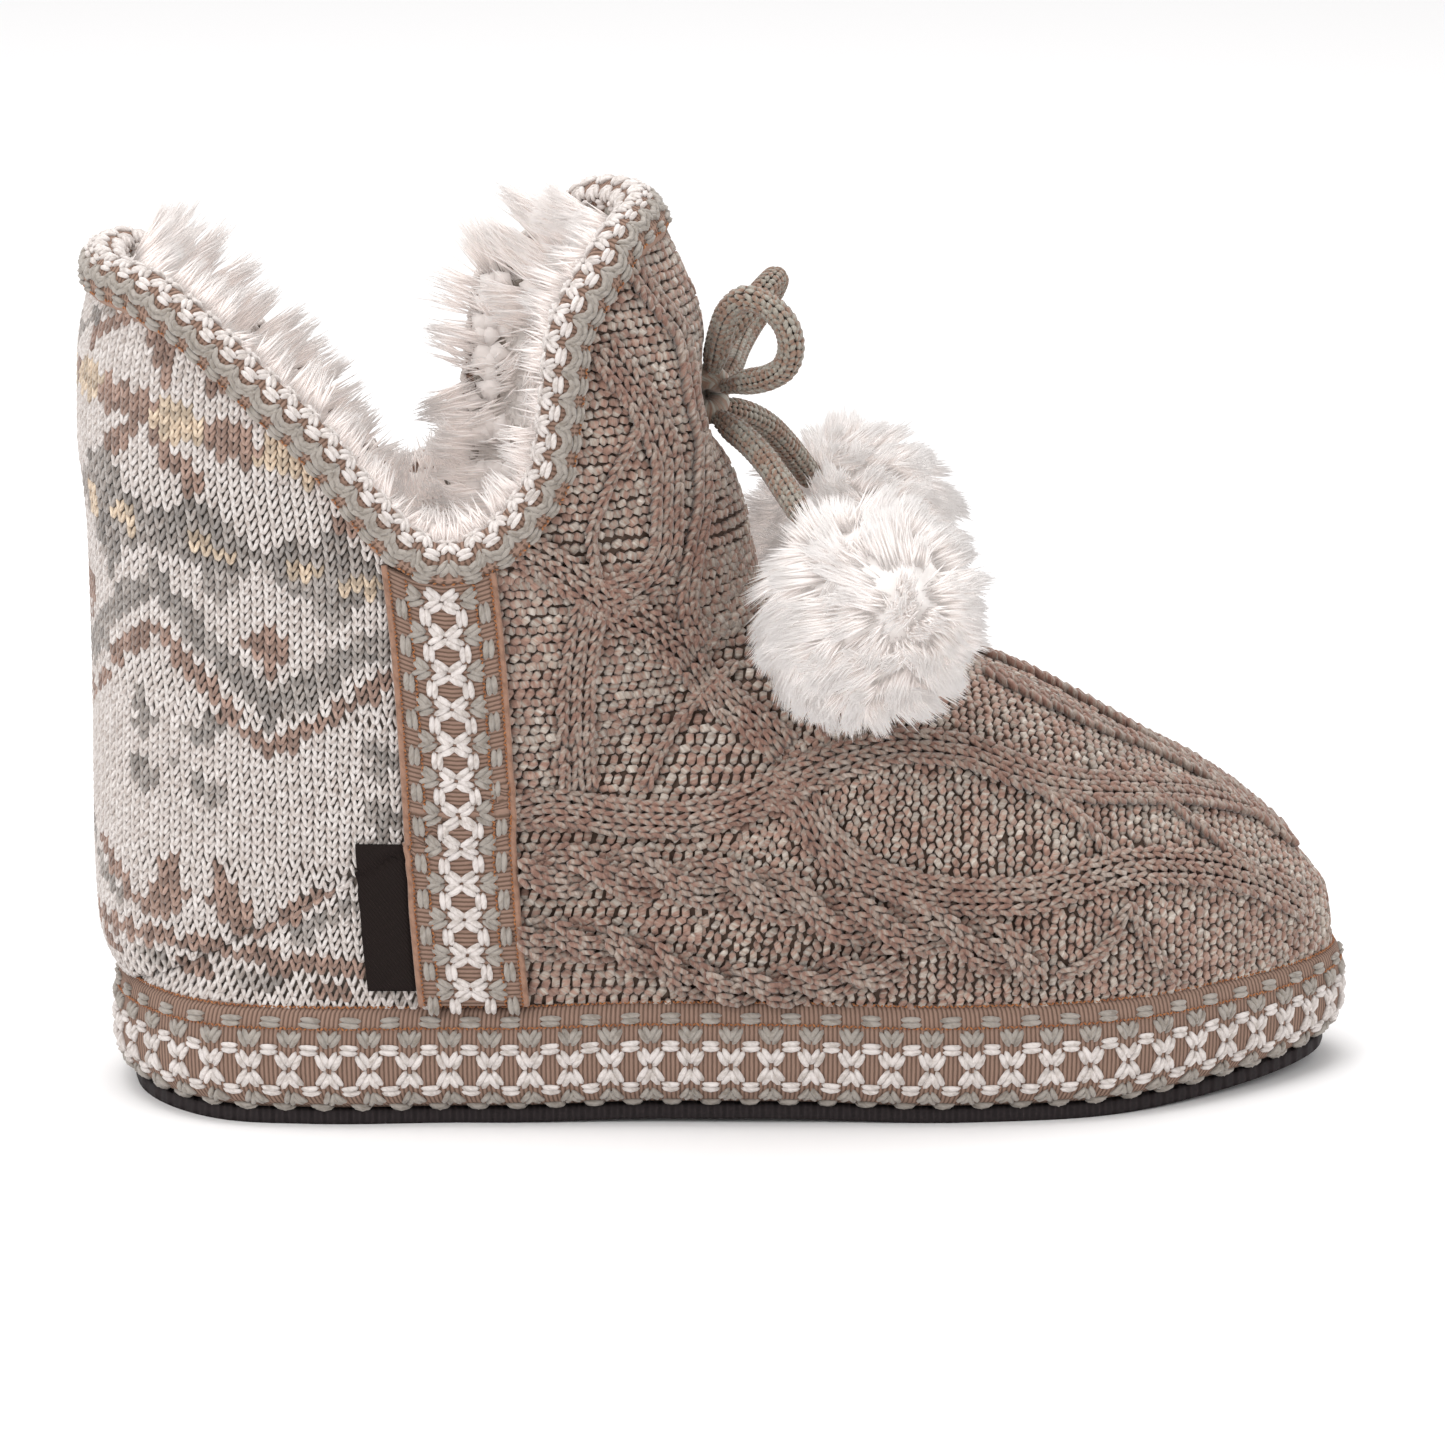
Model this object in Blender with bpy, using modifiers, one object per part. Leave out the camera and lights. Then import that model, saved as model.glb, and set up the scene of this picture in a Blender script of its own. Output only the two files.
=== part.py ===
"""Knitted ankle bootie slipper for the right foot, standing empty on its sole.

X runs from heel to toe, Y to the wearer's left and Z up, with the floor at Z = 0.
Tables hold shares of the named sizes beside them, one row for each section.
"""
import math

import bmesh
import bpy
import numpy as np
from mathutils import Vector

# Driving sizes in metres
SOLE_LENGTH = 0.258
BALL_WIDTH = 0.094
HEEL_WIDTH = 0.074
OUTSOLE_THICKNESS = 0.0030
MIDSOLE_THICKNESS = 0.0225
INSOLE_THICKNESS = 0.0045
TOE_SPRING = 0.0035
TOE_THINNING = 0.0040
ARCH_RISE = 0.0010
INSTEP_HEIGHT = 0.1085
ANKLE_HEIGHT = 0.1140
COLLAR_WIDTH = 0.081
COLLAR_LENGTH = 0.1390
FRONT_HEIGHT = 0.1858
TAB_HEIGHT = 0.1742
DIP_HEIGHT = 0.1205
WALL = 0.0030
HEEL_BULGE = 0.0090
TOE_SWING = 0.0073
SHAFT_TWIST = 0.0038
BINDING_HEIGHT = 0.0072
BINDING_THICKNESS = 0.0021
BRAID_WIDTH = 0.0215
BRAID_THICKNESS = 0.0016
LABEL_HEIGHT = 0.0310
LABEL_WIDTH = 0.0100
LABEL_THICKNESS = 0.0008
LABEL_LIFT = 0.12
CORD_DIAMETER = 0.0054
KNOT_SIZE = (0.0074, 0.0090, 0.0110)
POMPOM_DIAMETER = 0.0500
POMPOM_LOCK = 0.0050
CINCH_DEPTH = 0.0105
GAP = 0.0003
OVERLAY_GAP = 0.0009
HEM_TRIM = 0.0015

# Insets of each sole layer from the wrap's widest line
OUTSOLE_INSET = 0.0042
FEATHER_INSET = 0.0024
INSOLE_CLEARANCE = 0.0042
INSOLE_BEVEL = 0.0030

# Shares of the length: where the toe spring starts, where the arch rises and falls and over how
# much, and where the middle line starts to bend and over how much
TOE_START = 0.76
ARCH_START, ARCH_END, ARCH_FADE = 0.30, 0.66, 0.14
SWING_START, SWING_RUN = 0.45, 0.75

# How finely the curved forms are cut
OUTLINE_STEPS = 32
SECTION_STEPS = 12
FOOT_STEPS = 29
SHAFT_STEPS = 7
COLLAR_STEPS = 50
RIDGE_CROWDING = 1.35
OVERLAY_STEP = 0.006
BRAID_COLUMNS = 5
LABEL_COLUMNS = 3
ROUTE_STEPS = 24
CORD_SIDES = 2
KNOT_SEGMENTS = 10
KNOT_RINGS = 7
POMPOM_SUBDIVISIONS = 4
POMPOM_LOCKS = 120
POMPOM_SEED = 7
# Shortest lock as a share of the longest, and a lock's reach as a share of the way to the next
LOCK_SHORTEST = 0.55
LOCK_SPREAD = 0.75

MIDSOLE_FOOT = OUTSOLE_THICKNESS + GAP
MIDSOLE_TOP = MIDSOLE_FOOT + MIDSOLE_THICKNESS
FEATHER = MIDSOLE_TOP + GAP

# Sole outline: station from the heel as a share of the length, the width that the row follows,
# and how far the lateral and medial edges stand out as shares of it, before the ends are rounded.
OUTLINE = np.array([
    (0.00, HEEL_WIDTH, 1.00, 1.00),
    (0.06, HEEL_WIDTH, 0.93, 0.92),
    (0.14, HEEL_WIDTH, 0.77, 0.76),
    (0.28, HEEL_WIDTH, 0.62, 0.57),
    (0.42, BALL_WIDTH, 0.465, 0.395),
    (0.56, BALL_WIDTH, 0.487, 0.450),
    (0.70, BALL_WIDTH, 0.550, 0.540),
    (0.82, BALL_WIDTH, 0.600, 0.590),
    (0.92, BALL_WIDTH, 0.560, 0.590),
    (1.00, BALL_WIDTH, 0.520, 0.560),
])

# Side of the wrapped midsole: height share of its thickness, and inset share of the feather inset.
WRAP_SIDE = np.array([
    (0.00, 2.10),
    (0.10, 0.80),
    (0.28, 0.10),
    (0.55, 0.00),
    (0.82, 0.15),
    (0.95, 0.45),
    (1.00, 0.95),
])

# Upper over the foot. turn: angle round the sole outline, 0 at the toe and 180 at the heel.
# rise, bulge: the section's lower end above the feather line as a share of the ankle height over
# it, and behind the heel as a share of the heel bulge. ridge_x: its top as a share of the length.
# ridge_z: the same as a share of the instep height over the feather line. swell: how far the
# wall swells past its lower edge, as a share of the ball width. full: 1 is an ellipse, less is
# fuller, in the section's front half; low: the same in the half next to the sole or the heel.
FOOT_ROWS = np.array([
    # turn, rise, bulge, ridge_x, ridge_z, swell, full, low
    (0, 0.000, 0.00, 0.9890, 0.010, 0.000, 0.95, 0.95),
    (8, 0.000, 0.00, 0.9850, 0.125, 0.022, 0.94, 0.94),
    (17, 0.000, 0.00, 0.9670, 0.208, 0.045, 0.93, 0.93),
    (27, 0.000, 0.00, 0.9340, 0.312, 0.065, 0.92, 0.92),
    (38, 0.000, 0.00, 0.8830, 0.434, 0.085, 0.92, 0.92),
    (50, 0.000, 0.00, 0.8120, 0.563, 0.100, 0.92, 0.92),
    (62, 0.000, 0.00, 0.7280, 0.709, 0.112, 0.93, 0.93),
    (74, 0.000, 0.00, 0.6420, 0.817, 0.122, 0.94, 0.94),
    (86, 0.000, 0.00, 0.5850, 0.874, 0.130, 0.95, 0.95),
    (98, 0.000, 0.00, 0.5600, 0.901, 0.138, 0.96, 0.95),
    (111, 0.000, 0.00, 0.5450, 0.921, 0.152, 0.97, 0.95),
    (124, 0.000, 0.00, 0.5360, 0.940, 0.138, 0.97, 0.92),
    (138, 0.000, 0.00, 0.5305, 0.958, 0.154, 0.97, 0.85),
    (153, 0.000, 0.00, 0.5264, 0.974, 0.280, 0.97, 0.78),
    (168, 0.000, 0.00, 0.5230, 0.988, 0.400, 0.97, 0.74),
    (180, 0.000, 0.00, 0.5205, 1.000, 0.431, 0.97, 0.73),
])

# The heel above the feather line, where each section is a whole ring. rise and bulge as above;
# ridge_x as above; ridge: height of its front as a share of the way from instep to ankle height;
# width: half of it, as a share of the collar width; low as above.
HEEL_ROWS = np.array([
    # rise, bulge, ridge_x, ridge, width, low
    (0.105, 0.56, 0.5190, 0.25, 0.502, 0.73),
    (0.340, 0.66, 0.5176, 0.52, 0.504, 0.74),
    (0.690, 0.63, 0.5165, 0.78, 0.503, 0.75),
])

# The shaft, in level rings. height: share of the way from ankle to front height; front and back
# as shares of the collar length behind the instep; width: half of it, of the collar width; low
# as above.
SHAFT_ROWS = np.array([
    # height, front, back, width, low
    (0.00, 0.000, 0.983, 0.500, 0.76),
    (0.16, 0.016, 0.988, 0.503, 0.77),
    (0.32, 0.032, 0.996, 0.504, 0.78),
    (0.56, 0.055, 0.994, 0.498, 0.80),
    (0.80, 0.098, 0.969, 0.482, 0.83),
    (0.93, 0.132, 0.949, 0.466, 0.85),
    (1.00, 0.163, 0.937, 0.454, 0.86),
    (1.05, 0.177, 0.932, 0.449, 0.86),
])
SHAFT_FRONT = 0.5155 * SOLE_LENGTH
RIDGE_FULLNESS = 0.97

# Collar line round the shaft: where, as a share of the half turn from front to back; height as a
# share of the way from the dip to the peak in front of it, or to the tab behind it; and how far
# from here the medial side takes its height, as a share of that half turn.
COLLAR_ROWS = np.array([
    # where, height, medial_shift
    (0.000, 1.000, 0.000),
    (0.100, 0.990, 0.000),
    (0.190, 0.955, 0.000),
    (0.255, 0.870, 0.000),
    (0.300, 0.785, 0.000),
    (0.332, 0.680, -0.010),
    (0.356, 0.475, -0.028),
    (0.378, 0.255, -0.036),
    (0.404, 0.155, -0.030),
    (0.440, 0.055, -0.012),
    (0.494, 0.000, 0.000),
    (0.530, 0.060, 0.000),
    (0.558, 0.200, 0.000),
    (0.600, 0.430, 0.000),
    (0.650, 0.610, 0.000),
    (0.716, 0.797, 0.000),
    (0.790, 0.930, 0.000),
    (0.860, 0.990, 0.000),
    (1.000, 1.000, 0.000),
])

# Shares of the half turn: where the dip is deepest, and between which it meets the side braid
DIP_SHARE = 0.494
DIP_SPAN = (0.36, 0.66)

# Where the tie pulls the shaft's front in: height as a share of the front height, and its reach
CINCH_HEIGHT = 0.782 * FRONT_HEIGHT
CINCH_REACH = 0.0100
CINCH_SPREAD = 0.0115

# Side braid: stations of its middle at the top and at the sole, as shares of the length
BRAID_TOP_STATION = 0.247
BRAID_FOOT_STATION = 0.2885

# Tie: points of each stretch from the knot, in metres in X, Y and Z, chosen by hand
KNOT_PLACE = (0.1236, 0.0005, 0.1452)
LOOP_LATERAL = (
    (0.1247, -0.0025, 0.1498),
    (0.1256, -0.0064, 0.1556),
    (0.1264, -0.0092, 0.1603),
    (0.1279, -0.0120, 0.1650),
    (0.1312, -0.0146, 0.1680),
    (0.1355, -0.0161, 0.1668),
    (0.1390, -0.0169, 0.1632),
    (0.1403, -0.0165, 0.1584),
    (0.1391, -0.0149, 0.1537),
    (0.1356, -0.0120, 0.1508),
    (0.1312, -0.0078, 0.1490),
    (0.1277, -0.0038, 0.1472),
)
LOOP_MEDIAL = (
    (0.1249, 0.0038, 0.1502),
    (0.1272, 0.0064, 0.1548),
    (0.1310, 0.0090, 0.1590),
    (0.1352, 0.0130, 0.1628),
    (0.1381, 0.0180, 0.1645),
    (0.1390, 0.0236, 0.1634),
    (0.1382, 0.0278, 0.1600),
    (0.1360, 0.0288, 0.1560),
    (0.1332, 0.0256, 0.1525),
    (0.1308, 0.0196, 0.1497),
    (0.1292, 0.0122, 0.1480),
    (0.1272, 0.0045, 0.1466),
)
END_LATERAL = (
    (0.1252, -0.0029, 0.1413),
    (0.1289, -0.0072, 0.1390),
    (0.1322, -0.0120, 0.1370),
    (0.1356, -0.0172, 0.1340),
    (0.1386, -0.0222, 0.1302),
    (0.1416, -0.0266, 0.1262),
    (0.1444, -0.0298, 0.1224),
)
END_MEDIAL = (
    (0.1256, 0.0041, 0.1413),
    (0.1292, 0.0078, 0.1396),
    (0.1334, 0.0116, 0.1374),
    (0.1374, 0.0160, 0.1340),
    (0.1408, 0.0206, 0.1296),
    (0.1438, 0.0248, 0.1250),
    (0.1466, 0.0280, 0.1206),
)
# How thin the cord is squeezed at the knot, as a share of its own thickness
KNOT_SQUEEZE = 0.55

# sRGB colours, roughness and metallic value of each material
COLOURS = {
    "outsole": ("3B3335", 0.75, 0.0),
    "midsole": ("9A8675", 0.90, 0.0),
    "insole": ("EDE8E5", 0.95, 0.0),
    "upper": ("8F8175", 0.90, 0.0),
    "binding": ("B5A597", 0.90, 0.0),
    "braid": ("A08E7E", 0.90, 0.0),
    "label": ("3A2C28", 0.60, 0.0),
    "cord": ("7E7065", 0.90, 0.0),
    "pompom": ("F2EFEE", 0.95, 0.0),
}


def clear_scene():
    for obj in list(bpy.data.objects):
        bpy.data.objects.remove(obj, do_unlink=True)


def collection(name, hidden=False):
    made = bpy.data.collections.new(name)
    bpy.context.scene.collection.children.link(made)
    made.hide_render = hidden
    return made


def linear(channel):
    return channel / 12.92 if channel <= 0.04045 else ((channel + 0.055) / 1.055) ** 2.4


def material(name):
    """A Principled material from the table of colours, made once for each name."""
    made = bpy.data.materials.get(name)
    if made:
        return made
    code, roughness, metallic = COLOURS[name]
    made = bpy.data.materials.new(name)
    made.use_nodes = True
    shader = made.node_tree.nodes["Principled BSDF"]
    rgb = [linear(int(code[i:i + 2], 16) / 255) for i in (0, 2, 4)]
    shader.inputs["Base Color"].default_value = (*rgb, 1.0)
    shader.inputs["Roughness"].default_value = roughness
    shader.inputs["Metallic"].default_value = metallic
    made.diffuse_color = (*rgb, 1.0)
    return made


def through(rows, at):
    """Smooth curve through table rows (first column where, the rest values) that never
    overshoots a row: cubic pieces with the harmonic mean of neighbouring slopes."""
    x, y = rows[:, 0], rows[:, 1:]
    step = np.diff(x)[:, None]
    slope = np.diff(y, axis=0) / step
    tangent = np.zeros_like(y)
    same = slope[:-1] * slope[1:] > 0
    mean = 2 * slope[:-1] * slope[1:] / np.where(same, slope[:-1] + slope[1:], 1)
    tangent[1:-1] = np.where(same, mean, 0)
    tangent[0], tangent[-1] = slope[0], slope[-1]
    at = np.atleast_1d(np.asarray(at, float))
    i = np.clip(np.searchsorted(x, at) - 1, 0, len(x) - 2)
    h = step[i]
    t = ((at - x[i])[:, None] / h)
    return (
        (1 + 2 * t) * (1 - t) ** 2 * y[i]
        + t * (1 - t) ** 2 * h * tangent[i]
        + t * t * (3 - 2 * t) * y[i + 1]
        + t * t * (t - 1) * h * tangent[i + 1]
    )


def smooth(t):
    t = np.clip(t, 0, 1)
    return t * t * (3 - 2 * t)


def toe_share(x):
    """0 behind the ball of the foot, growing as a square to 1 at the toe."""
    return np.clip((np.asarray(x) / SOLE_LENGTH - TOE_START) / (1 - TOE_START), 0, 1) ** 2


def sole_lift(x, height=0.0):
    """How far the sole's layers rise: toe spring and a little arch, less the midsole's thinning
    towards the toe, which grows with the height between its foot and its top."""
    share = np.asarray(x) / SOLE_LENGTH
    arch = ARCH_RISE * smooth((share - ARCH_START) / ARCH_FADE) * smooth((ARCH_END - share) / ARCH_FADE)
    thinned = TOE_THINNING * np.clip((height - MIDSOLE_FOOT) / MIDSOLE_THICKNESS, 0, 1)
    return (TOE_SPRING - thinned) * toe_share(x) + arch


def swing(x):
    """How far the foot's middle line bends to the medial side."""
    return TOE_SWING * smooth((np.asarray(x) / SOLE_LENGTH - SWING_START) / SWING_RUN)


def sole_edge(turn, inset):
    """Station and half widths of the sole outline at an angle: an ellipse's round ends times the
    outline table. Returns x, lateral and medial half width."""
    turn = np.atleast_1d(turn)
    station = (1 + np.cos(turn)) / 2
    _, lateral, medial = edge_widths(station)
    x = inset + (SOLE_LENGTH - 2 * inset) * station
    return x, (lateral - inset) * np.sin(turn), (medial - inset) * np.sin(turn)


def edge_widths(station):
    """Outline widths at a station, each the row's share of the width it follows."""
    rows = np.column_stack([
        OUTLINE[:, 0],
        OUTLINE[:, 1],
        OUTLINE[:, 1] * OUTLINE[:, 2],
        OUTLINE[:, 1] * OUTLINE[:, 3],
    ])
    return through(rows, station).T


def sole_ring(inset, height):
    """One closed loop of points round the sole, from the toe along the lateral edge to the heel
    and back along the medial edge."""
    turn = np.linspace(0, math.pi, OUTLINE_STEPS + 1)
    x, lateral, medial = sole_edge(turn, inset)
    out = np.column_stack([x, swing(x) - lateral, height + sole_lift(x, height)])
    back = np.column_stack([x, swing(x) + medial, height + sole_lift(x, height)])
    return np.concatenate([out, back[-2:0:-1]])


def mesh_object(name, points, faces, look, place):
    mesh = bpy.data.meshes.new(name)
    mesh.from_pydata([tuple(p) for p in points], [], faces)
    mesh.materials.append(material(look))
    obj = bpy.data.objects.new(name, mesh)
    place.objects.link(obj)
    tidy_mesh(mesh)
    return obj


def tidy_mesh(mesh):
    """Merges points that meet and turns every face outwards."""
    work = bmesh.new()
    work.from_mesh(mesh)
    bmesh.ops.remove_doubles(work, verts=work.verts, dist=1e-6)
    bmesh.ops.recalc_face_normals(work, faces=work.faces)
    work.to_mesh(mesh)
    work.free()
    mesh.shade_smooth()


def layer(name, rings, look, place):
    """A sole layer: a loft through rings of the outline, closed by strips from edge to edge."""
    count = len(rings[0])
    points = np.concatenate(rings)
    faces = []
    for level in range(len(rings) - 1):
        for i in range(count):
            a, b = level * count + i, level * count + (i + 1) % count
            faces.append((a, b, b + count, a + count))
    for level in (0, len(rings) - 1):
        start = level * count
        for i in range(count // 2):
            a, b = start + i, start + i + 1
            c, d = start + (count - i - 1) % count, start + (count - i) % count
            faces.append(tuple(dict.fromkeys((a, b, c, d))))
    return mesh_object(name, points, faces, look, place)


def make_outsole(place):
    rings = [
        sole_ring(OUTSOLE_INSET + GAP, 0.0),
        sole_ring(OUTSOLE_INSET, OUTSOLE_THICKNESS * 0.3),
        sole_ring(OUTSOLE_INSET, OUTSOLE_THICKNESS),
    ]
    return layer("outsole", rings, "outsole", place)


def make_midsole(place):
    rings = [
        sole_ring(FEATHER_INSET * inset, MIDSOLE_FOOT + MIDSOLE_THICKNESS * height)
        for height, inset in WRAP_SIDE
    ]
    return layer("midsole", rings, "midsole", place)


def make_insole(place):
    inset = FEATHER_INSET + WALL + INSOLE_CLEARANCE
    rings = [
        sole_ring(inset, FEATHER),
        sole_ring(inset + INSOLE_BEVEL * 0.2, FEATHER + INSOLE_THICKNESS * 0.4),
        sole_ring(inset + INSOLE_BEVEL, FEATHER + INSOLE_THICKNESS),
    ]
    return layer("insole", rings, "insole", place)


def upper_rows():
    """Every section of the upper as real sizes, one row each, from the toe to the shaft's top:
    base x and z, ridge x and z, lateral and medial foot, swell, full, low."""
    rows = []
    over_feather = INSTEP_HEIGHT - FEATHER
    for turn, rise, bulge, ridge_x, ridge_z, swell, full, low in FOOT_ROWS:
        x, lateral, medial = (v[0] for v in sole_edge(math.radians(turn), FEATHER_INSET))
        lift = float(sole_lift(x, FEATHER))
        ridge = FEATHER + ridge_z * over_feather + lift * (1 - ridge_z)
        rows.append((
            x - bulge * HEEL_BULGE, FEATHER - HEM_TRIM + lift + rise * (ANKLE_HEIGHT - FEATHER),
            ridge_x * SOLE_LENGTH, ridge, lateral, medial, swell * BALL_WIDTH, full, low,
        ))
    for rise, bulge, ridge_x, ridge, width, low in HEEL_ROWS:
        rows.append((
            FEATHER_INSET - bulge * HEEL_BULGE, FEATHER + rise * (ANKLE_HEIGHT - FEATHER),
            ridge_x * SOLE_LENGTH, INSTEP_HEIGHT + ridge * (ANKLE_HEIGHT - INSTEP_HEIGHT),
            0, 0, width * COLLAR_WIDTH, RIDGE_FULLNESS, low,
        ))
    for height, front, back, width, low in SHAFT_ROWS:
        z = ANKLE_HEIGHT + height * (FRONT_HEIGHT - ANKLE_HEIGHT)
        rows.append((
            SHAFT_FRONT - back * COLLAR_LENGTH, z, SHAFT_FRONT - front * COLLAR_LENGTH, z,
            0, 0, width * COLLAR_WIDTH, RIDGE_FULLNESS, low,
        ))
    return np.column_stack([np.arange(len(rows)), rows])


ROWS = upper_rows()
SHAFT_START = len(ROWS) - len(SHAFT_ROWS)
SHAFT_END = len(ROWS) - 1


def section(along, side):
    """The upper's sections at these rows, counted in table rows from the toe: base and ridge as
    x and z, half width, the angle at the lower edge, and the fullness of the front and lower half.
    side: 1 medial, -1 lateral."""
    base_x, base_z, ridge_x, ridge_z, lateral, medial, swell, full, low = through(ROWS, along).T
    foot = np.maximum(np.where(np.asarray(side) < 0, lateral, medial), 0)
    width = np.hypot(foot, swell)
    end = math.pi - np.arcsin(np.clip(foot / np.maximum(width, 1e-9), 0, 1) ** (1 / low))
    return np.stack([base_x, base_z]), np.stack([ridge_x, ridge_z]), width, end, full, low


def upper_point(along, share):
    """The upper's outer surface. share: from the ridge, 0, down to the lower edge, 1, on the
    medial side, and to -1 on the lateral side. Each section is part of an ellipse in the plane
    through its ridge and base, and a dent in front is where the tie pulls the shaft in."""
    share = np.asarray(share, float)
    base, ridge, width, end, full, low = section(along, share)
    angle = np.abs(share) * end
    x, z = ridge + (base - ridge) * (1 - np.cos(angle)) / (1 - np.cos(end))
    fullness = np.where(angle < math.pi / 2, full, low)
    out = width * np.abs(np.sin(angle)) ** fullness * np.sign(share)
    pull = CINCH_DEPTH * np.exp(-((z - CINCH_HEIGHT) / CINCH_REACH) ** 2)
    pull = pull * np.exp(-(out / CINCH_SPREAD) ** 2) * (angle < math.pi / 2)
    twist = SHAFT_TWIST * smooth((z - FEATHER) / (ANKLE_HEIGHT - FEATHER)) * out / (COLLAR_WIDTH / 2)
    return np.column_stack([x - pull - twist, swing(x) + out, z])


def side_spot(x, z, side):
    """Row and share of the upper's point that a view from the side shows at x and z, found by
    halving: a section's line lies in front of the point or behind it."""
    low, high = np.zeros(len(x)), np.full(len(x), float(SHAFT_END))
    for _ in range(40):
        middle = (low + high) / 2
        base, ridge, _, end, _, _ = section(middle, side)
        line, spot = base - ridge, np.stack([x, z]) - ridge
        ahead = line[0] * spot[1] - line[1] * spot[0] > 0
        high = np.where(ahead, middle, high)
        low = np.where(ahead, low, middle)
    down = np.sum(line * spot, axis=0) / np.sum(line * line, axis=0)
    angle = np.arccos(np.clip(1 - down * (1 - np.cos(end)), -1, 1))
    return middle, side * np.minimum(angle / end, 1)


def upper_normal(along, share):
    """Outward normal of the upper, with the point's change along the rows and across them."""
    small = 1e-3
    by_row = (upper_point(along + small, share) - upper_point(along - small, share)) / (2 * small)
    by_share = (upper_point(along, share + small) - upper_point(along, share - small)) / (2 * small)
    normal = np.cross(by_share, by_row)
    return normal / np.linalg.norm(normal, axis=1)[:, None], by_row, by_share


def shaft_row(height):
    """Which table row of the shaft lies at a height."""
    along = np.linspace(SHAFT_START, SHAFT_END, 400)
    return np.interp(height, through(ROWS, along)[:, 1], along)


def collar_height(share):
    """Height of the collar line at a share of the half turn, lateral negative. The medial side's
    front edge lies a little further back."""
    where = np.abs(share)
    shift = through(COLLAR_ROWS, where)[:, 1] * (np.asarray(share) > 0)
    height = through(COLLAR_ROWS, np.clip(where + shift, 0, 1))[:, 0]
    top = np.where(where < DIP_SHARE, FRONT_HEIGHT, TAB_HEIGHT)
    return DIP_HEIGHT + height * (top - DIP_HEIGHT)


def upper_grid(lift=0.0):
    """Rows of points over the whole upper. The last rows climb from the shaft's foot to the
    collar line, raised by lift across the line's own slope."""
    share = np.linspace(-1, 1, 2 * SECTION_STEPS + 1)
    share = np.sign(share) * np.abs(share) ** RIDGE_CROWDING
    below = np.linspace(0, SHAFT_START, FOOT_STEPS + 1)
    grid = [upper_point(np.full(len(share), along), share) for along in below]
    top = collar_height(share)
    if lift:
        line = upper_point(shaft_row(top), share)
        run = np.hypot(np.gradient(line[:, 0]), np.gradient(line[:, 1]))
        top = top + lift * np.hypot(1, np.gradient(line[:, 2]) / run)
    for step in range(1, SHAFT_STEPS + 1):
        height = ANKLE_HEIGHT + (top - ANKLE_HEIGHT) * step / SHAFT_STEPS
        grid.append(upper_point(shaft_row(height), share))
    return np.array(grid)


def grid_faces(rows, columns):
    return [
        (r * columns + c, r * columns + c + 1, (r + 1) * columns + c + 1, (r + 1) * columns + c)
        for r in range(rows - 1)
        for c in range(columns - 1)
    ]


def upper_surface(name, look, place, lift=0.0, grow=0.0):
    """The upper's outer face as an open sheet, moved outwards by grow."""
    grid = upper_grid(lift)
    points = grid.reshape(-1, 3)
    sheet = mesh_object(name, points, grid_faces(*grid.shape[:2]), look, place)
    face_outwards(sheet.data)
    if grow:
        normals = [v.normal.copy() for v in sheet.data.vertices]
        for vertex, normal in zip(sheet.data.vertices, normals):
            vertex.co += normal * grow
    return sheet


def face_outwards(mesh):
    """An open sheet can be turned the wrong way as a whole: its widest face must point out."""
    mesh.update()
    widest = max(mesh.polygons, key=lambda face: abs(face.center.y))
    if widest.normal.y * widest.center.y < 0:
        mesh.flip_normals()
        mesh.update()


def thicken(obj, thickness, offset):
    wall = obj.modifiers.new("wall", "SOLIDIFY")
    wall.thickness = thickness
    wall.offset = offset
    wall.use_even_offset = True
    wall.use_quality_normals = True
    return obj


def make_upper(place, cutters):
    """The upper's wall, its hem cut level with the top of the midsole."""
    upper = thicken(upper_surface("upper", "upper", place), WALL, -1)
    rings = [sole_ring(-HEEL_BULGE, -MIDSOLE_THICKNESS), sole_ring(-HEEL_BULGE, FEATHER)]
    boolean(upper, as_cutter(layer("space_under_upper", rings, "midsole", cutters)), "DIFFERENCE")
    return upper


def boolean(obj, other, operation):
    cut = obj.modifiers.new(other.name, "BOOLEAN")
    cut.operation = operation
    cut.solver = "EXACT"
    cut.object = other


def as_cutter(obj):
    obj.hide_render = True
    obj.display_type = "WIRE"
    return obj


def collar_frame(share):
    """Rows of the collar line, the outward normal there, the direction that leads over the edge,
    and the steps in row and share that lead down the wall from it."""
    along = shaft_row(collar_height(share))
    point = upper_point(along, share)
    normal, by_row, by_share = upper_normal(along, share)
    line = np.roll(point, -1, axis=0) - np.roll(point, 1, axis=0)
    line /= np.linalg.norm(line, axis=1)[:, None]
    over = np.cross(normal, line)
    over *= np.sign(over[:, 2])[:, None]
    over /= np.linalg.norm(over, axis=1)[:, None]
    steps = [
        np.linalg.lstsq(np.column_stack([row, across]), way, rcond=None)[0]
        for row, across, way in zip(by_row, by_share, -over)
    ]
    return along, normal, over, np.array(steps)


def collar_shares():
    return (np.arange(COLLAR_STEPS) + 0.5) / COLLAR_STEPS * 2 - 1


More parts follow.
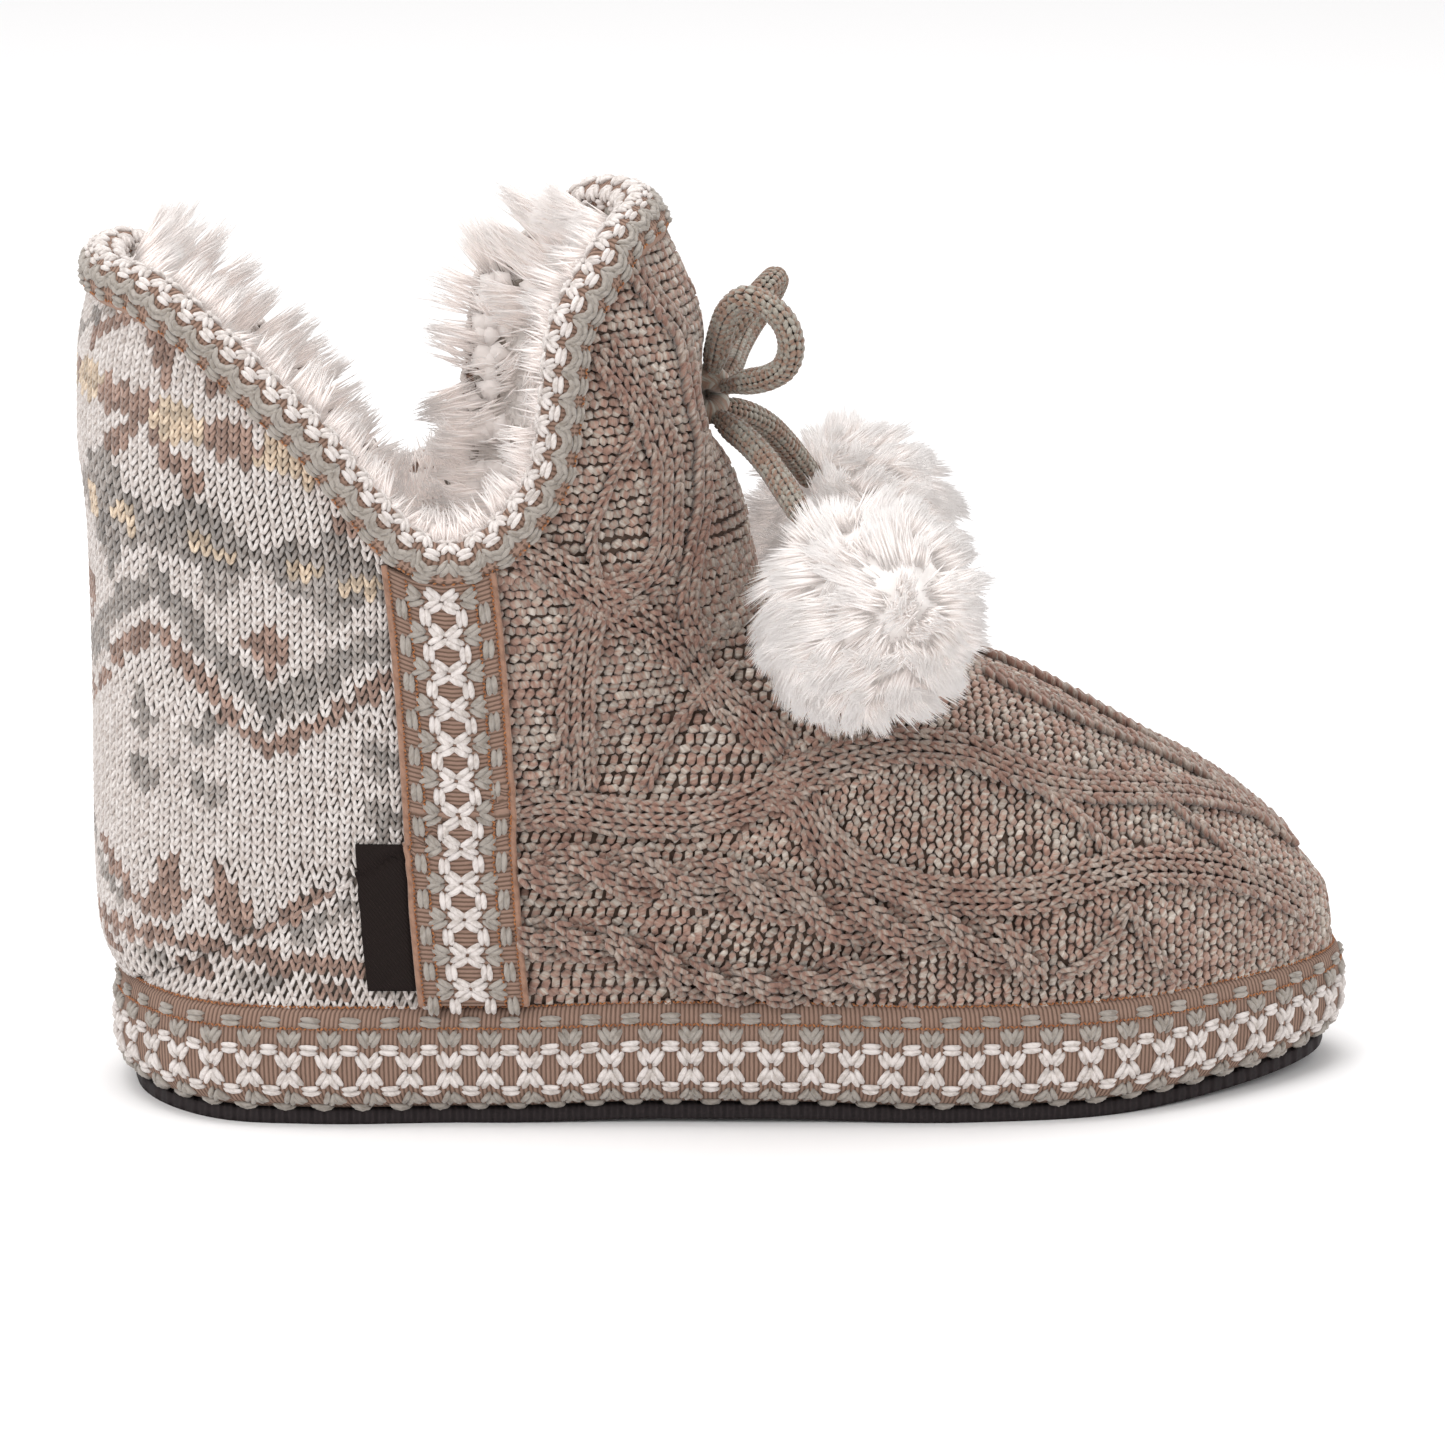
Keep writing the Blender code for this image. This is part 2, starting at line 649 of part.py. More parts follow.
def binding_form(name, place):
    """The folded ribbon as one fat band round the collar, before the wall's slot is cut: its
    legs follow the wall on both sides and its top is round."""
    share = collar_shares()
    along, normal, over, steps = collar_frame(share)
    depth = np.linspace(1, 0, 4) * BINDING_HEIGHT
    half = np.array([0.62, 0.95, 1.05, 0.98]) * BINDING_THICKNESS
    outer, inner = [], []
    for down, thick in zip(depth, half):
        on_wall = upper_point(along + steps[:, 0] * down, share + steps[:, 1] * down)
        outer.append(on_wall + normal * (thick + GAP))
        inner.append(on_wall - normal * (WALL + thick + GAP))
    edge = upper_point(along, share)
    top = BINDING_THICKNESS + 3 * GAP
    crown = [
        edge + normal * (thick * 0.55) + over * top * 0.80,
        edge - normal * (WALL / 2) + over * top,
        edge - normal * (WALL + thick * 0.55) + over * top * 0.80,
    ]
    section = outer + crown + inner[::-1]
    points = np.stack(section, axis=1).reshape(-1, 3)
    size, count = len(section), len(share)
    faces = [
        (r * size + c, r * size + (c + 1) % size,
         (r + 1) % count * size + (c + 1) % size, (r + 1) % count * size + c)
        for r in range(count)
        for c in range(size)
    ]
    return mesh_object(name, points, faces, "binding", place)


def make_binding(place, cutters):
    """The collar binding: the fat band with a slot that the upper's edge sits in."""
    band = binding_form("collar_binding", place)
    slot = upper_surface("slot_for_upper", "upper", cutters, lift=5 * GAP, grow=2 * GAP)
    as_cutter(thicken(slot, WALL + 4 * GAP, -1))
    boolean(band, slot, "DIFFERENCE")
    return band


def binding_foot(x, side):
    """Height of the binding's lower edge where the view from the side shows it at x, by the dip."""
    share = collar_shares()
    along, normal, _, steps = collar_frame(share)
    down = BINDING_HEIGHT + 6 * GAP
    edge = upper_point(along + steps[:, 0] * down, share + steps[:, 1] * down)
    dip = (share * side > DIP_SPAN[0]) & (share * side < DIP_SPAN[1])
    order = np.argsort(edge[dip, 0])
    return np.interp(x, edge[dip, 0][order], edge[dip, 2][order])


def braid_middle(height):
    """Middle of the side braid at a height above the floor."""
    share = (height - FEATHER) / (DIP_HEIGHT - FEATHER)
    station = BRAID_FOOT_STATION + (BRAID_TOP_STATION - BRAID_FOOT_STATION) * share
    return station * SOLE_LENGTH


def overlay(name, look, thickness, offsets, foot, top, side, place):
    """A flat piece sewn on the upper's side: a sheet on the upper's own face, raised by the gap,
    with a column for each offset from the braid's middle, between two heights."""
    up = np.linspace(0, 1, max(4, round(float(np.max(top - foot)) / OVERLAY_STEP)))[:, None]
    z = foot + (top - foot) * up
    x = braid_middle(z) + offsets
    along, share = side_spot(x.ravel(), z.ravel(), side)
    normal, _, _ = upper_normal(along, share)
    points = upper_point(along, share) + normal * OVERLAY_GAP
    sheet = mesh_object(name, points, grid_faces(*x.shape), look, place)
    face_outwards(sheet.data)
    return thicken(sheet, thickness, 1)


def make_side_braid(name, side, place):
    offsets = np.linspace(-BRAID_WIDTH / 2, BRAID_WIDTH / 2, BRAID_COLUMNS)
    foot = FEATHER + 2 * GAP + sole_lift(braid_middle(FEATHER) + offsets, FEATHER)
    top = binding_foot(braid_middle(DIP_HEIGHT) + offsets - side * SHAFT_TWIST, side)
    return overlay(name, "braid", BRAID_THICKNESS, offsets, foot, top, side, place)


def make_label(place):
    """A bare woven tab caught in the seam along the lateral braid's rear edge."""
    edge = -BRAID_WIDTH / 2 - 2 * GAP
    offsets = np.linspace(edge - LABEL_WIDTH, edge, LABEL_COLUMNS)
    foot = FEATHER + LABEL_LIFT * LABEL_HEIGHT + np.zeros(LABEL_COLUMNS)
    return overlay("label", "label", LABEL_THICKNESS, offsets, foot, foot + LABEL_HEIGHT, -1, place)


def make_knot(place):
    bpy.ops.mesh.primitive_uv_sphere_add(
        segments=KNOT_SEGMENTS, ring_count=KNOT_RINGS, radius=0.5)
    knot = bpy.context.object
    knot.name = "tie_knot"
    knot.data.name = "tie_knot"
    knot.scale = KNOT_SIZE
    bpy.ops.object.transform_apply(location=False, rotation=False, scale=True)
    knot.location = KNOT_PLACE
    knot.data.materials.append(material("cord"))
    knot.data.shade_smooth()
    move_to(knot, place)
    return knot


def move_to(obj, place):
    for home in list(obj.users_collection):
        home.objects.unlink(obj)
    place.objects.link(obj)


def smooth_route(points, spacing):
    """A smooth curve through the route's own points (Catmull-Rom), read at equal steps."""
    p = np.array(points, float)
    ends = np.concatenate([[2 * p[0] - p[1]], p, [2 * p[-1] - p[-2]]])
    t = np.linspace(0, 1, ROUTE_STEPS, endpoint=False)[:, None]
    pieces = [
        0.5 * (2 * b + (c - a) * t + (2 * a - 5 * b + 4 * c - d) * t ** 2
               + (3 * b - a - 3 * c + d) * t ** 3)
        for a, b, c, d in zip(ends, ends[1:], ends[2:], ends[3:])
    ]
    dense = np.concatenate(pieces + [p[-1:]])
    run = np.concatenate([[0], np.cumsum(np.linalg.norm(np.diff(dense, axis=0), axis=1))])
    at = np.linspace(0, run[-1], max(3, round(run[-1] / spacing) + 1))
    return np.column_stack([np.interp(at, run, dense[:, k]) for k in range(3)])


def make_cord(name, route, squeezed_ends, place):
    """One stretch of the tie: a round tube, squeezed thin where it enters the knot."""
    points = smooth_route(route, CORD_DIAMETER / 2)
    curve = bpy.data.curves.new(name, "CURVE")
    curve.dimensions = "3D"
    curve.bevel_depth = CORD_DIAMETER / 2
    curve.bevel_resolution = CORD_SIDES
    curve.use_fill_caps = True
    spline = curve.splines.new("POLY")
    spline.points.add(len(points) - 1)
    for i, (spot, point) in enumerate(zip(spline.points, points)):
        spot.co = (*point, 1)
        from_knot = min([i] + ([len(points) - 1 - i] if squeezed_ends == 2 else []))
        spot.radius = KNOT_SQUEEZE + (1 - KNOT_SQUEEZE) * float(smooth(from_knot / 3))
    curve.materials.append(material("cord"))
    obj = bpy.data.objects.new(name, curve)
    place.objects.link(obj)
    return obj


def pompom_hang(route):
    """Centre of the ball that hangs on from the cord's last stretch, clear of its end by the gap,
    and the direction from the ball back to the cord."""
    last = np.array(route[-1])
    way = last - np.array(route[-2])
    way /= np.linalg.norm(way)
    return last + way * (POMPOM_DIAMETER / 2 - POMPOM_LOCK + GAP), -way


def make_pompom(name, route, seed, place):
    """A ball of trimmed pile: a sphere with pointed locks drawn out of it, each over the points
    nearest to its own direction, and none where the cord goes in."""
    centre, to_cord = pompom_hang(route)
    bare = CORD_DIAMETER / (POMPOM_DIAMETER / 2 - POMPOM_LOCK)
    bpy.ops.mesh.primitive_ico_sphere_add(subdivisions=POMPOM_SUBDIVISIONS, radius=1.0)
    ball = bpy.context.object
    ball.name = name
    ball.data.name = name
    random = np.random.default_rng(seed)
    turn = np.arange(POMPOM_LOCKS) * math.pi * (3 - math.sqrt(5))
    height = 1 - 2 * (np.arange(POMPOM_LOCKS) + 0.5) / POMPOM_LOCKS
    flat = np.sqrt(1 - height ** 2)
    locks = np.column_stack([flat * np.cos(turn), flat * np.sin(turn), height])
    length = random.uniform(LOCK_SHORTEST, 1.0, POMPOM_LOCKS)
    apart = math.sqrt(4 * math.pi / POMPOM_LOCKS)
    for vertex in ball.data.vertices:
        way = np.array(vertex.co.normalized())
        angle = np.arccos(np.clip(locks @ way, -1, 1))
        near = int(angle.argmin())
        drawn = length[near] * max(0.0, 1 - angle[near] / (LOCK_SPREAD * apart))
        if math.acos(min(1.0, float(way @ to_cord))) < bare:
            drawn = 0.0
        vertex.co = Vector(way * (POMPOM_DIAMETER / 2 - POMPOM_LOCK * (1 - drawn)))
    ball.location = centre
    ball.data.materials.append(material("pompom"))
    ball.data.shade_smooth()
    move_to(ball, place)
    return ball


def centre_on_origin(place, left_out):
    """Parents every piece to one empty and moves it, so that the origin is the middle of the
    shoe's floor print, measured without the tie."""
    root = bpy.data.objects.new("slipper", None)
    place.objects.link(root)
    bpy.context.view_layer.update()
    graph = bpy.context.evaluated_depsgraph_get()
    low, high = np.full(3, 1e9), np.full(3, -1e9)
    for obj in place.objects:
        if obj.type == "EMPTY" or obj.name.startswith(left_out):
            continue
        shown = obj.evaluated_get(graph)
        corners = [shown.matrix_world @ Vector(c) for c in shown.bound_box]
        low, high = np.minimum(low, np.min(corners, axis=0)), np.maximum(high, np.max(corners, axis=0))
    for obj in bpy.data.objects:
        if obj is not root:
            obj.parent = root
    root.location = (-(low[0] + high[0]) / 2, -(low[1] + high[1]) / 2, 0.0)


def main():
    clear_scene()
    slipper = collection("knitted_bootie_slipper")
    cutters = collection("cutters", hidden=True)
    make_outsole(slipper)
    make_midsole(slipper)
    make_insole(slipper)
    make_upper(slipper, cutters)
    make_binding(slipper, cutters)
    make_side_braid("side_braid_lateral", -1, slipper)
    make_side_braid("side_braid_medial", 1, slipper)
    make_label(slipper)
    make_knot(slipper)
    make_cord("tie_loop_lateral", LOOP_LATERAL, 2, slipper)
    make_cord("tie_loop_medial", LOOP_MEDIAL, 2, slipper)
    make_cord("tie_end_lateral", END_LATERAL, 1, slipper)
    make_cord("tie_end_medial", END_MEDIAL, 1, slipper)
    make_pompom("pompom_lateral", END_LATERAL, POMPOM_SEED, slipper)
    make_pompom("pompom_medial", END_MEDIAL, POMPOM_SEED + 1, slipper)
    centre_on_origin(slipper, ("tie_", "pompom_"))


main()
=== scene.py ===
"""Looks of the knitted ankle bootie slipper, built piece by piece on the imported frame."""
import math

import bpy
import numpy as np
from mathutils import Matrix, Vector


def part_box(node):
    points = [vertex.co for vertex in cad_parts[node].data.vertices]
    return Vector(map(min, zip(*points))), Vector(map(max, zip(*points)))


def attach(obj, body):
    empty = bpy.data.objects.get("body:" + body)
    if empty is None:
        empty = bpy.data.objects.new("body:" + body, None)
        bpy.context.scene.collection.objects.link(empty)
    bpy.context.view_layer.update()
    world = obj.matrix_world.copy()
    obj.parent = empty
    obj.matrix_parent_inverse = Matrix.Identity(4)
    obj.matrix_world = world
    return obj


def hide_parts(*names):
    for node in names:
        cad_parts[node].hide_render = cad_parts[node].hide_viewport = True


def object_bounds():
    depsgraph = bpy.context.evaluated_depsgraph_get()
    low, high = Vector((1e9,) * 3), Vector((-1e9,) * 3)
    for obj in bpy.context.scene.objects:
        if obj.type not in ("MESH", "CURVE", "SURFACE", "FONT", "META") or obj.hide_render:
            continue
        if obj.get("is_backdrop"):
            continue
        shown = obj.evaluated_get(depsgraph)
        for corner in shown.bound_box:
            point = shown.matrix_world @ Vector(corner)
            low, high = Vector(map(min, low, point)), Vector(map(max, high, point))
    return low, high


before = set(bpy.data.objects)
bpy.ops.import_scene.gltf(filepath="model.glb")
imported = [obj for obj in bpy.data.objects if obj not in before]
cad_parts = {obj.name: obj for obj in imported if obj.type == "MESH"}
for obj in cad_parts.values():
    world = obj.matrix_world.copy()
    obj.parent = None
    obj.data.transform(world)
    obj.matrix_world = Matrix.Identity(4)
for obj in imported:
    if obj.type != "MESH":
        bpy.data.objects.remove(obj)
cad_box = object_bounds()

# Camera: a long lens at the photograph's angle, a little above the shoe's outer side.
# The heel's back edge of the midsole is station 0 of every size below.
HEEL_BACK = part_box("midsole")[0][0]
SIDE_SHIFT = -0.0015
SOLE_LENGTH = 0.258
YAW, PITCH, DISTANCE = math.radians(-2.5), math.radians(14.8), 2.0
PIXELS_A_METRE, FRAME_SIDE = 4765, 1445
SOLE_MIDDLE_PIXEL = np.array([732, 1067])
SENSOR_WIDTH = 36
right = np.array([math.cos(YAW), math.sin(YAW), 0])
ahead = np.array([-math.sin(YAW) * math.cos(PITCH), math.cos(YAW) * math.cos(PITCH), -math.sin(PITCH)])
above = np.cross(right, ahead)
aim = np.array([HEEL_BACK + SOLE_LENGTH / 2, SIDE_SHIFT, 0])
off_centre = (SOLE_MIDDLE_PIXEL - FRAME_SIDE / 2) / PIXELS_A_METRE
eye = aim - DISTANCE * ahead - off_centre[0] * right + off_centre[1] * above
camera_data = bpy.data.cameras.new("camera")
camera_data.sensor_width = SENSOR_WIDTH
camera_data.lens = SENSOR_WIDTH * PIXELS_A_METRE * DISTANCE / FRAME_SIDE
camera_data.clip_start, camera_data.clip_end = 0.05, 50
camera = bpy.data.objects.new("camera", camera_data)
turned = np.column_stack([right, above, -ahead])
camera.matrix_world = Matrix([[*row, place] for row, place in zip(turned, eye)] + [[0, 0, 0, 1]])
bpy.context.scene.collection.objects.link(camera)
bpy.context.scene.camera = camera


# Pale paper floor and soft studio light: a big box overhead, one from the left, a weak fill.
def linear(code):
    """sRGB hex code as linear red, green, blue."""
    value = np.array([int(code[i:i + 2], 16) / 255 for i in (0, 2, 4)])
    return np.where(value <= 0.04045, value / 12.92, ((value + 0.055) / 1.055) ** 2.4)


def paint(code):
    """sRGB hex code as an opaque linear colour."""
    return (*linear(code), 1)


def fill(tree, node, inputs):
    """Sets a node's input sockets, by name or number, each to a value or to the output socket
    that feeds it."""
    for name, value in dict(inputs).items():
        if isinstance(value, bpy.types.NodeSocket):
            tree.links.new(value, node.inputs[name])
        else:
            node.inputs[name].default_value = value


def add(tree, kind, inputs=(), **settings):
    """Adds one node: settings are its properties, inputs its sockets."""
    made = tree.nodes.new(kind)
    for name, value in settings.items():
        setattr(made, name, value)
    fill(tree, made, inputs)
    return made


def new_material(name, **inputs):
    """A Principled material, its node tree and its shader. An input's name is the socket's own
    with low lines for spaces."""
    made = bpy.data.materials.new(name)
    made.use_nodes = True
    shader = made.node_tree.nodes["Principled BSDF"]
    fill(made.node_tree, shader, {key.replace("_", " "): value for key, value in inputs.items()})
    return made, made.node_tree, shader


def bumped(tree, shader, height, strength, depth):
    """Gives the shader a bump of this height socket, depth in metres."""
    bump = add(tree, "ShaderNodeBump", {"Strength": strength, "Distance": depth, "Height": height})
    fill(tree, shader, {"Normal": bump.outputs[0]})


def object_place(tree):
    """The socket of the surface's own place, in metres."""
    return add(tree, "ShaderNodeTexCoord").outputs["Object"]


def make_object(name, points, faces, material, smooth=True):
    """A mesh object from an array of points and one or several arrays of faces."""
    mesh = bpy.data.meshes.new(name)
    faces = [part for part in (faces if isinstance(faces, list) else [faces]) if len(part)]
    mesh.vertices.add(len(points))
    mesh.vertices.foreach_set("co", np.ascontiguousarray(points, np.float32).ravel())
    sizes = np.concatenate([np.full(len(part), part.shape[1]) for part in faces])
    mesh.loops.add(int(sizes.sum()))
    corners = np.concatenate([part.ravel() for part in faces]).astype(np.int32)
    mesh.loops.foreach_set("vertex_index", corners)
    mesh.polygons.add(len(sizes))
    starts = np.concatenate([[0], np.cumsum(sizes)[:-1]]).astype(np.int32)
    mesh.polygons.foreach_set("loop_start", starts)
    mesh.update(calc_edges=True)
    mesh.validate()
    mesh.polygons.foreach_set("use_smooth", np.full(len(mesh.polygons), smooth))
    mesh.materials.append(material)
    made = bpy.data.objects.new(name, mesh)
    bpy.context.scene.collection.objects.link(made)
    return made


def ride_all(slot, *made, stands_for=None):
    """Every object rides on the one body, the root; slot is not used. Where a solid is named, that
    solid is hidden, and these objects stand in its place."""
    for obj in made:
        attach(obj, "root")
    if stands_for:
        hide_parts(stands_for)


FLOOR_REACH = 6.0
# Matt paper: no gloss, so that only soft shadows tell where the floor is.
paper, _, _ = new_material("matt_white_paper", Base_Color=paint("F7F6F6"), Roughness=0.9)
corners = np.array([(-1, -1, 0), (1, -1, 0), (1, 1, 0), (-1, 1, 0)]) * FLOOR_REACH
floor = make_object("floor", corners, np.array([[0, 1, 2, 3]]), paper, smooth=False)
floor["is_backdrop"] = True
world = bpy.data.worlds.new("studio")
bpy.context.scene.world = world
world.use_nodes = True
fill(world.node_tree, world.node_tree.nodes["Background"], {"Color": paint("FFFFFF"), "Strength": 0.75})
LIGHTS = {
    # name: place, size, power in watts
    "overhead": ((-0.10, 0.10, 1.30), 1.2, 13.0),
    "left_front": ((-0.90, -0.90, 0.85), 0.8, 8.0),
    "right_front": ((1.10, -0.80, 0.60), 0.9, 3.5),
}
for name, (place, size, power) in LIGHTS.items():
    light = bpy.data.lights.new(name, "AREA")
    light.energy, light.size = power, size
    lamp = bpy.data.objects.new(name, light)
    lamp.location = place
    towards = np.array([0.0, 0.0, 0.06]) - np.array(place)
    lamp.rotation_euler = Vector(towards).to_track_quat("-Z", "Y").to_euler()
    bpy.context.scene.collection.objects.link(lamp)
bpy.context.scene.view_settings.view_transform = "Standard"


# The last: every knitted piece below is laid on this one surface, which is the upper's own form.
# It is an ellipse-like section between a ridge line and the sole's feather line, all the way from
# the toe round to the heel, and then level rings up the shaft.
BALL_WIDTH = 0.094
HEEL_WIDTH = 0.074
OUTSOLE_THICKNESS = 0.0030
MIDSOLE_THICKNESS = 0.0225
TOE_SPRING = 0.0035
TOE_THINNING = 0.0040
ARCH_RISE = 0.0010
INSTEP_HEIGHT = 0.1085
ANKLE_HEIGHT = 0.1140
COLLAR_WIDTH = 0.081
COLLAR_LENGTH = 0.1390
FRONT_HEIGHT = 0.1858
TAB_HEIGHT = 0.1742
DIP_HEIGHT = 0.1205
WALL = 0.0030
HEEL_BULGE = 0.0090
TOE_SWING = 0.0073
SHAFT_TWIST = 0.0038
CINCH_DEPTH = 0.0105
CINCH_HEIGHT = 0.782 * FRONT_HEIGHT
CINCH_REACH = 0.0100
CINCH_SPREAD = 0.0115
SHAFT_FRONT = 0.5155 * SOLE_LENGTH
RIDGE_FULLNESS = 0.97
GAP = 0.0003
HEM_TRIM = 0.0015
FEATHER_INSET = 0.0024
MIDSOLE_FOOT = OUTSOLE_THICKNESS + GAP
FEATHER = MIDSOLE_FOOT + MIDSOLE_THICKNESS + GAP
OUTLINE = np.array([
    (0.00, HEEL_WIDTH, 1.00, 1.00),
    (0.06, HEEL_WIDTH, 0.93, 0.92),
    (0.14, HEEL_WIDTH, 0.77, 0.76),
    (0.28, HEEL_WIDTH, 0.62, 0.57),
    (0.42, BALL_WIDTH, 0.465, 0.395),
    (0.56, BALL_WIDTH, 0.487, 0.450),
    (0.70, BALL_WIDTH, 0.550, 0.540),
    (0.82, BALL_WIDTH, 0.600, 0.590),
    (0.92, BALL_WIDTH, 0.560, 0.590),
    (1.00, BALL_WIDTH, 0.520, 0.560),
])
FOOT_ROWS = np.array([
    # turn, rise, bulge, ridge_x, ridge_z, swell, full, low
    (0, 0.000, 0.00, 0.9890, 0.010, 0.000, 0.95, 0.95),
    (8, 0.000, 0.00, 0.9850, 0.125, 0.022, 0.94, 0.94),
    (17, 0.000, 0.00, 0.9670, 0.208, 0.045, 0.93, 0.93),
    (27, 0.000, 0.00, 0.9340, 0.312, 0.065, 0.92, 0.92),
    (38, 0.000, 0.00, 0.8830, 0.434, 0.085, 0.92, 0.92),
    (50, 0.000, 0.00, 0.8120, 0.563, 0.100, 0.92, 0.92),
    (62, 0.000, 0.00, 0.7280, 0.709, 0.112, 0.93, 0.93),
    (74, 0.000, 0.00, 0.6420, 0.817, 0.122, 0.94, 0.94),
    (86, 0.000, 0.00, 0.5850, 0.874, 0.130, 0.95, 0.95),
    (98, 0.000, 0.00, 0.5600, 0.901, 0.138, 0.96, 0.95),
    (111, 0.000, 0.00, 0.5450, 0.921, 0.152, 0.97, 0.95),
    (124, 0.000, 0.00, 0.5360, 0.940, 0.138, 0.97, 0.92),
    (138, 0.000, 0.00, 0.5305, 0.958, 0.154, 0.97, 0.85),
    (153, 0.000, 0.00, 0.5264, 0.974, 0.280, 0.97, 0.78),
    (168, 0.000, 0.00, 0.5230, 0.988, 0.400, 0.97, 0.74),
    (180, 0.000, 0.00, 0.5205, 1.000, 0.431, 0.97, 0.73),
])
HEEL_ROWS = np.array([
    # rise, bulge, ridge_x, ridge, width, low
    (0.105, 0.56, 0.5190, 0.25, 0.502, 0.73),
    (0.340, 0.66, 0.5176, 0.52, 0.504, 0.74),
    (0.690, 0.63, 0.5165, 0.78, 0.503, 0.75),
])
SHAFT_ROWS = np.array([
    # height, front, back, width, low
    (0.00, 0.000, 0.983, 0.500, 0.76),
    (0.16, 0.016, 0.988, 0.503, 0.77),
    (0.32, 0.032, 0.996, 0.504, 0.78),
    (0.56, 0.055, 0.994, 0.498, 0.80),
    (0.80, 0.098, 0.969, 0.482, 0.83),
    (0.93, 0.132, 0.949, 0.466, 0.85),
    (1.00, 0.163, 0.937, 0.454, 0.86),
    (1.05, 0.177, 0.932, 0.449, 0.86),
])
COLLAR_ROWS = np.array([
    # where, height, medial_shift
    (0.000, 1.000, 0.000),
    (0.100, 0.990, 0.000),
    (0.190, 0.955, 0.000),
    (0.255, 0.870, 0.000),
    (0.300, 0.785, 0.000),
    (0.332, 0.680, -0.010),
    (0.356, 0.475, -0.028),
    (0.378, 0.255, -0.036),
    (0.404, 0.155, -0.030),
    (0.440, 0.055, -0.012),
    (0.494, 0.000, 0.000),
    (0.530, 0.060, 0.000),
    (0.558, 0.200, 0.000),
    (0.600, 0.430, 0.000),
    (0.650, 0.610, 0.000),
    (0.716, 0.797, 0.000),
    (0.790, 0.930, 0.000),
    (0.860, 0.990, 0.000),
    (1.000, 1.000, 0.000),
])


def run_along(line):
    """The length of a line of points up to each of them."""
    return np.concatenate([[0], np.cumsum(np.linalg.norm(np.diff(line, axis=0), axis=1))])


def through(rows, at):
    """Smooth curve through table rows (first column where, the rest values) that never
    overshoots a row: cubic pieces with the harmonic mean of neighbouring slopes."""
    x, y = rows[:, 0], rows[:, 1:]
    step = np.diff(x)[:, None]
    slope = np.diff(y, axis=0) / step
    tangent = np.zeros_like(y)
    same = slope[:-1] * slope[1:] > 0
    mean = 2 * slope[:-1] * slope[1:] / np.where(same, slope[:-1] + slope[1:], 1)
    tangent[1:-1] = np.where(same, mean, 0)
    tangent[0], tangent[-1] = slope[0], slope[-1]
    at = np.atleast_1d(np.asarray(at, float))
    i = np.clip(np.searchsorted(x, at) - 1, 0, len(x) - 2)
    h = step[i]
    t = ((at - x[i])[:, None] / h)
    return (
        (1 + 2 * t) * (1 - t) ** 2 * y[i]
        + t * (1 - t) ** 2 * h * tangent[i]
        + t * t * (3 - 2 * t) * y[i + 1]
        + t * t * (t - 1) * h * tangent[i + 1]
    )


def smooth(t):
    """0 up to t = 0, 1 from t = 1, with a soft start and end between them."""
    t = np.clip(t, 0, 1)
    return t * t * (3 - 2 * t)


def toe_share(x):
    """0 behind the ball of the foot, growing as a square to 1 at the toe."""
    return np.clip((np.asarray(x) / SOLE_LENGTH - 0.76) / 0.24, 0, 1) ** 2


def sole_lift(x, height=0.0):
    """How far the sole's layers rise: toe spring and a little arch, less the midsole's thinning
    towards the toe, which grows with the height between its foot and its top."""
    share = np.asarray(x) / SOLE_LENGTH
    arch = ARCH_RISE * smooth((share - 0.30) / 0.14) * smooth((0.66 - share) / 0.14)
    thinned = TOE_THINNING * np.clip((height - MIDSOLE_FOOT) / MIDSOLE_THICKNESS, 0, 1)
    return (TOE_SPRING - thinned) * toe_share(x) + arch


def swing(x):
    """How far the foot's middle line bends to the medial side."""
    return TOE_SWING * smooth((np.asarray(x) / SOLE_LENGTH - 0.45) / 0.75)


def sole_edge(turn, inset):
    """Station and half widths of the sole outline at an angle: an ellipse's round ends times the
    outline table. Returns x, lateral and medial half width."""
    turn = np.atleast_1d(turn)
    station = (1 + np.cos(turn)) / 2
    _, lateral, medial = edge_widths(station)
    x = inset + (SOLE_LENGTH - 2 * inset) * station
    return x, (lateral - inset) * np.sin(turn), (medial - inset) * np.sin(turn)


def edge_widths(station):
    """Outline widths at a station, each the row's share of the width it follows."""
    rows = np.column_stack([
        OUTLINE[:, 0],
        OUTLINE[:, 1],
        OUTLINE[:, 1] * OUTLINE[:, 2],
        OUTLINE[:, 1] * OUTLINE[:, 3],
    ])
    return through(rows, station).T


def sole_ring(inset, height, steps=160):
    """One closed loop of points round the sole, from the toe along the lateral edge to the heel
    and back along the medial edge."""
    turn = np.linspace(0, math.pi, steps + 1)
    x, lateral, medial = sole_edge(turn, inset)
    out = np.column_stack([x, swing(x) - lateral, height + sole_lift(x, height)])
    back = np.column_stack([x, swing(x) + medial, height + sole_lift(x, height)])
    return np.concatenate([out, back[-2:0:-1]])


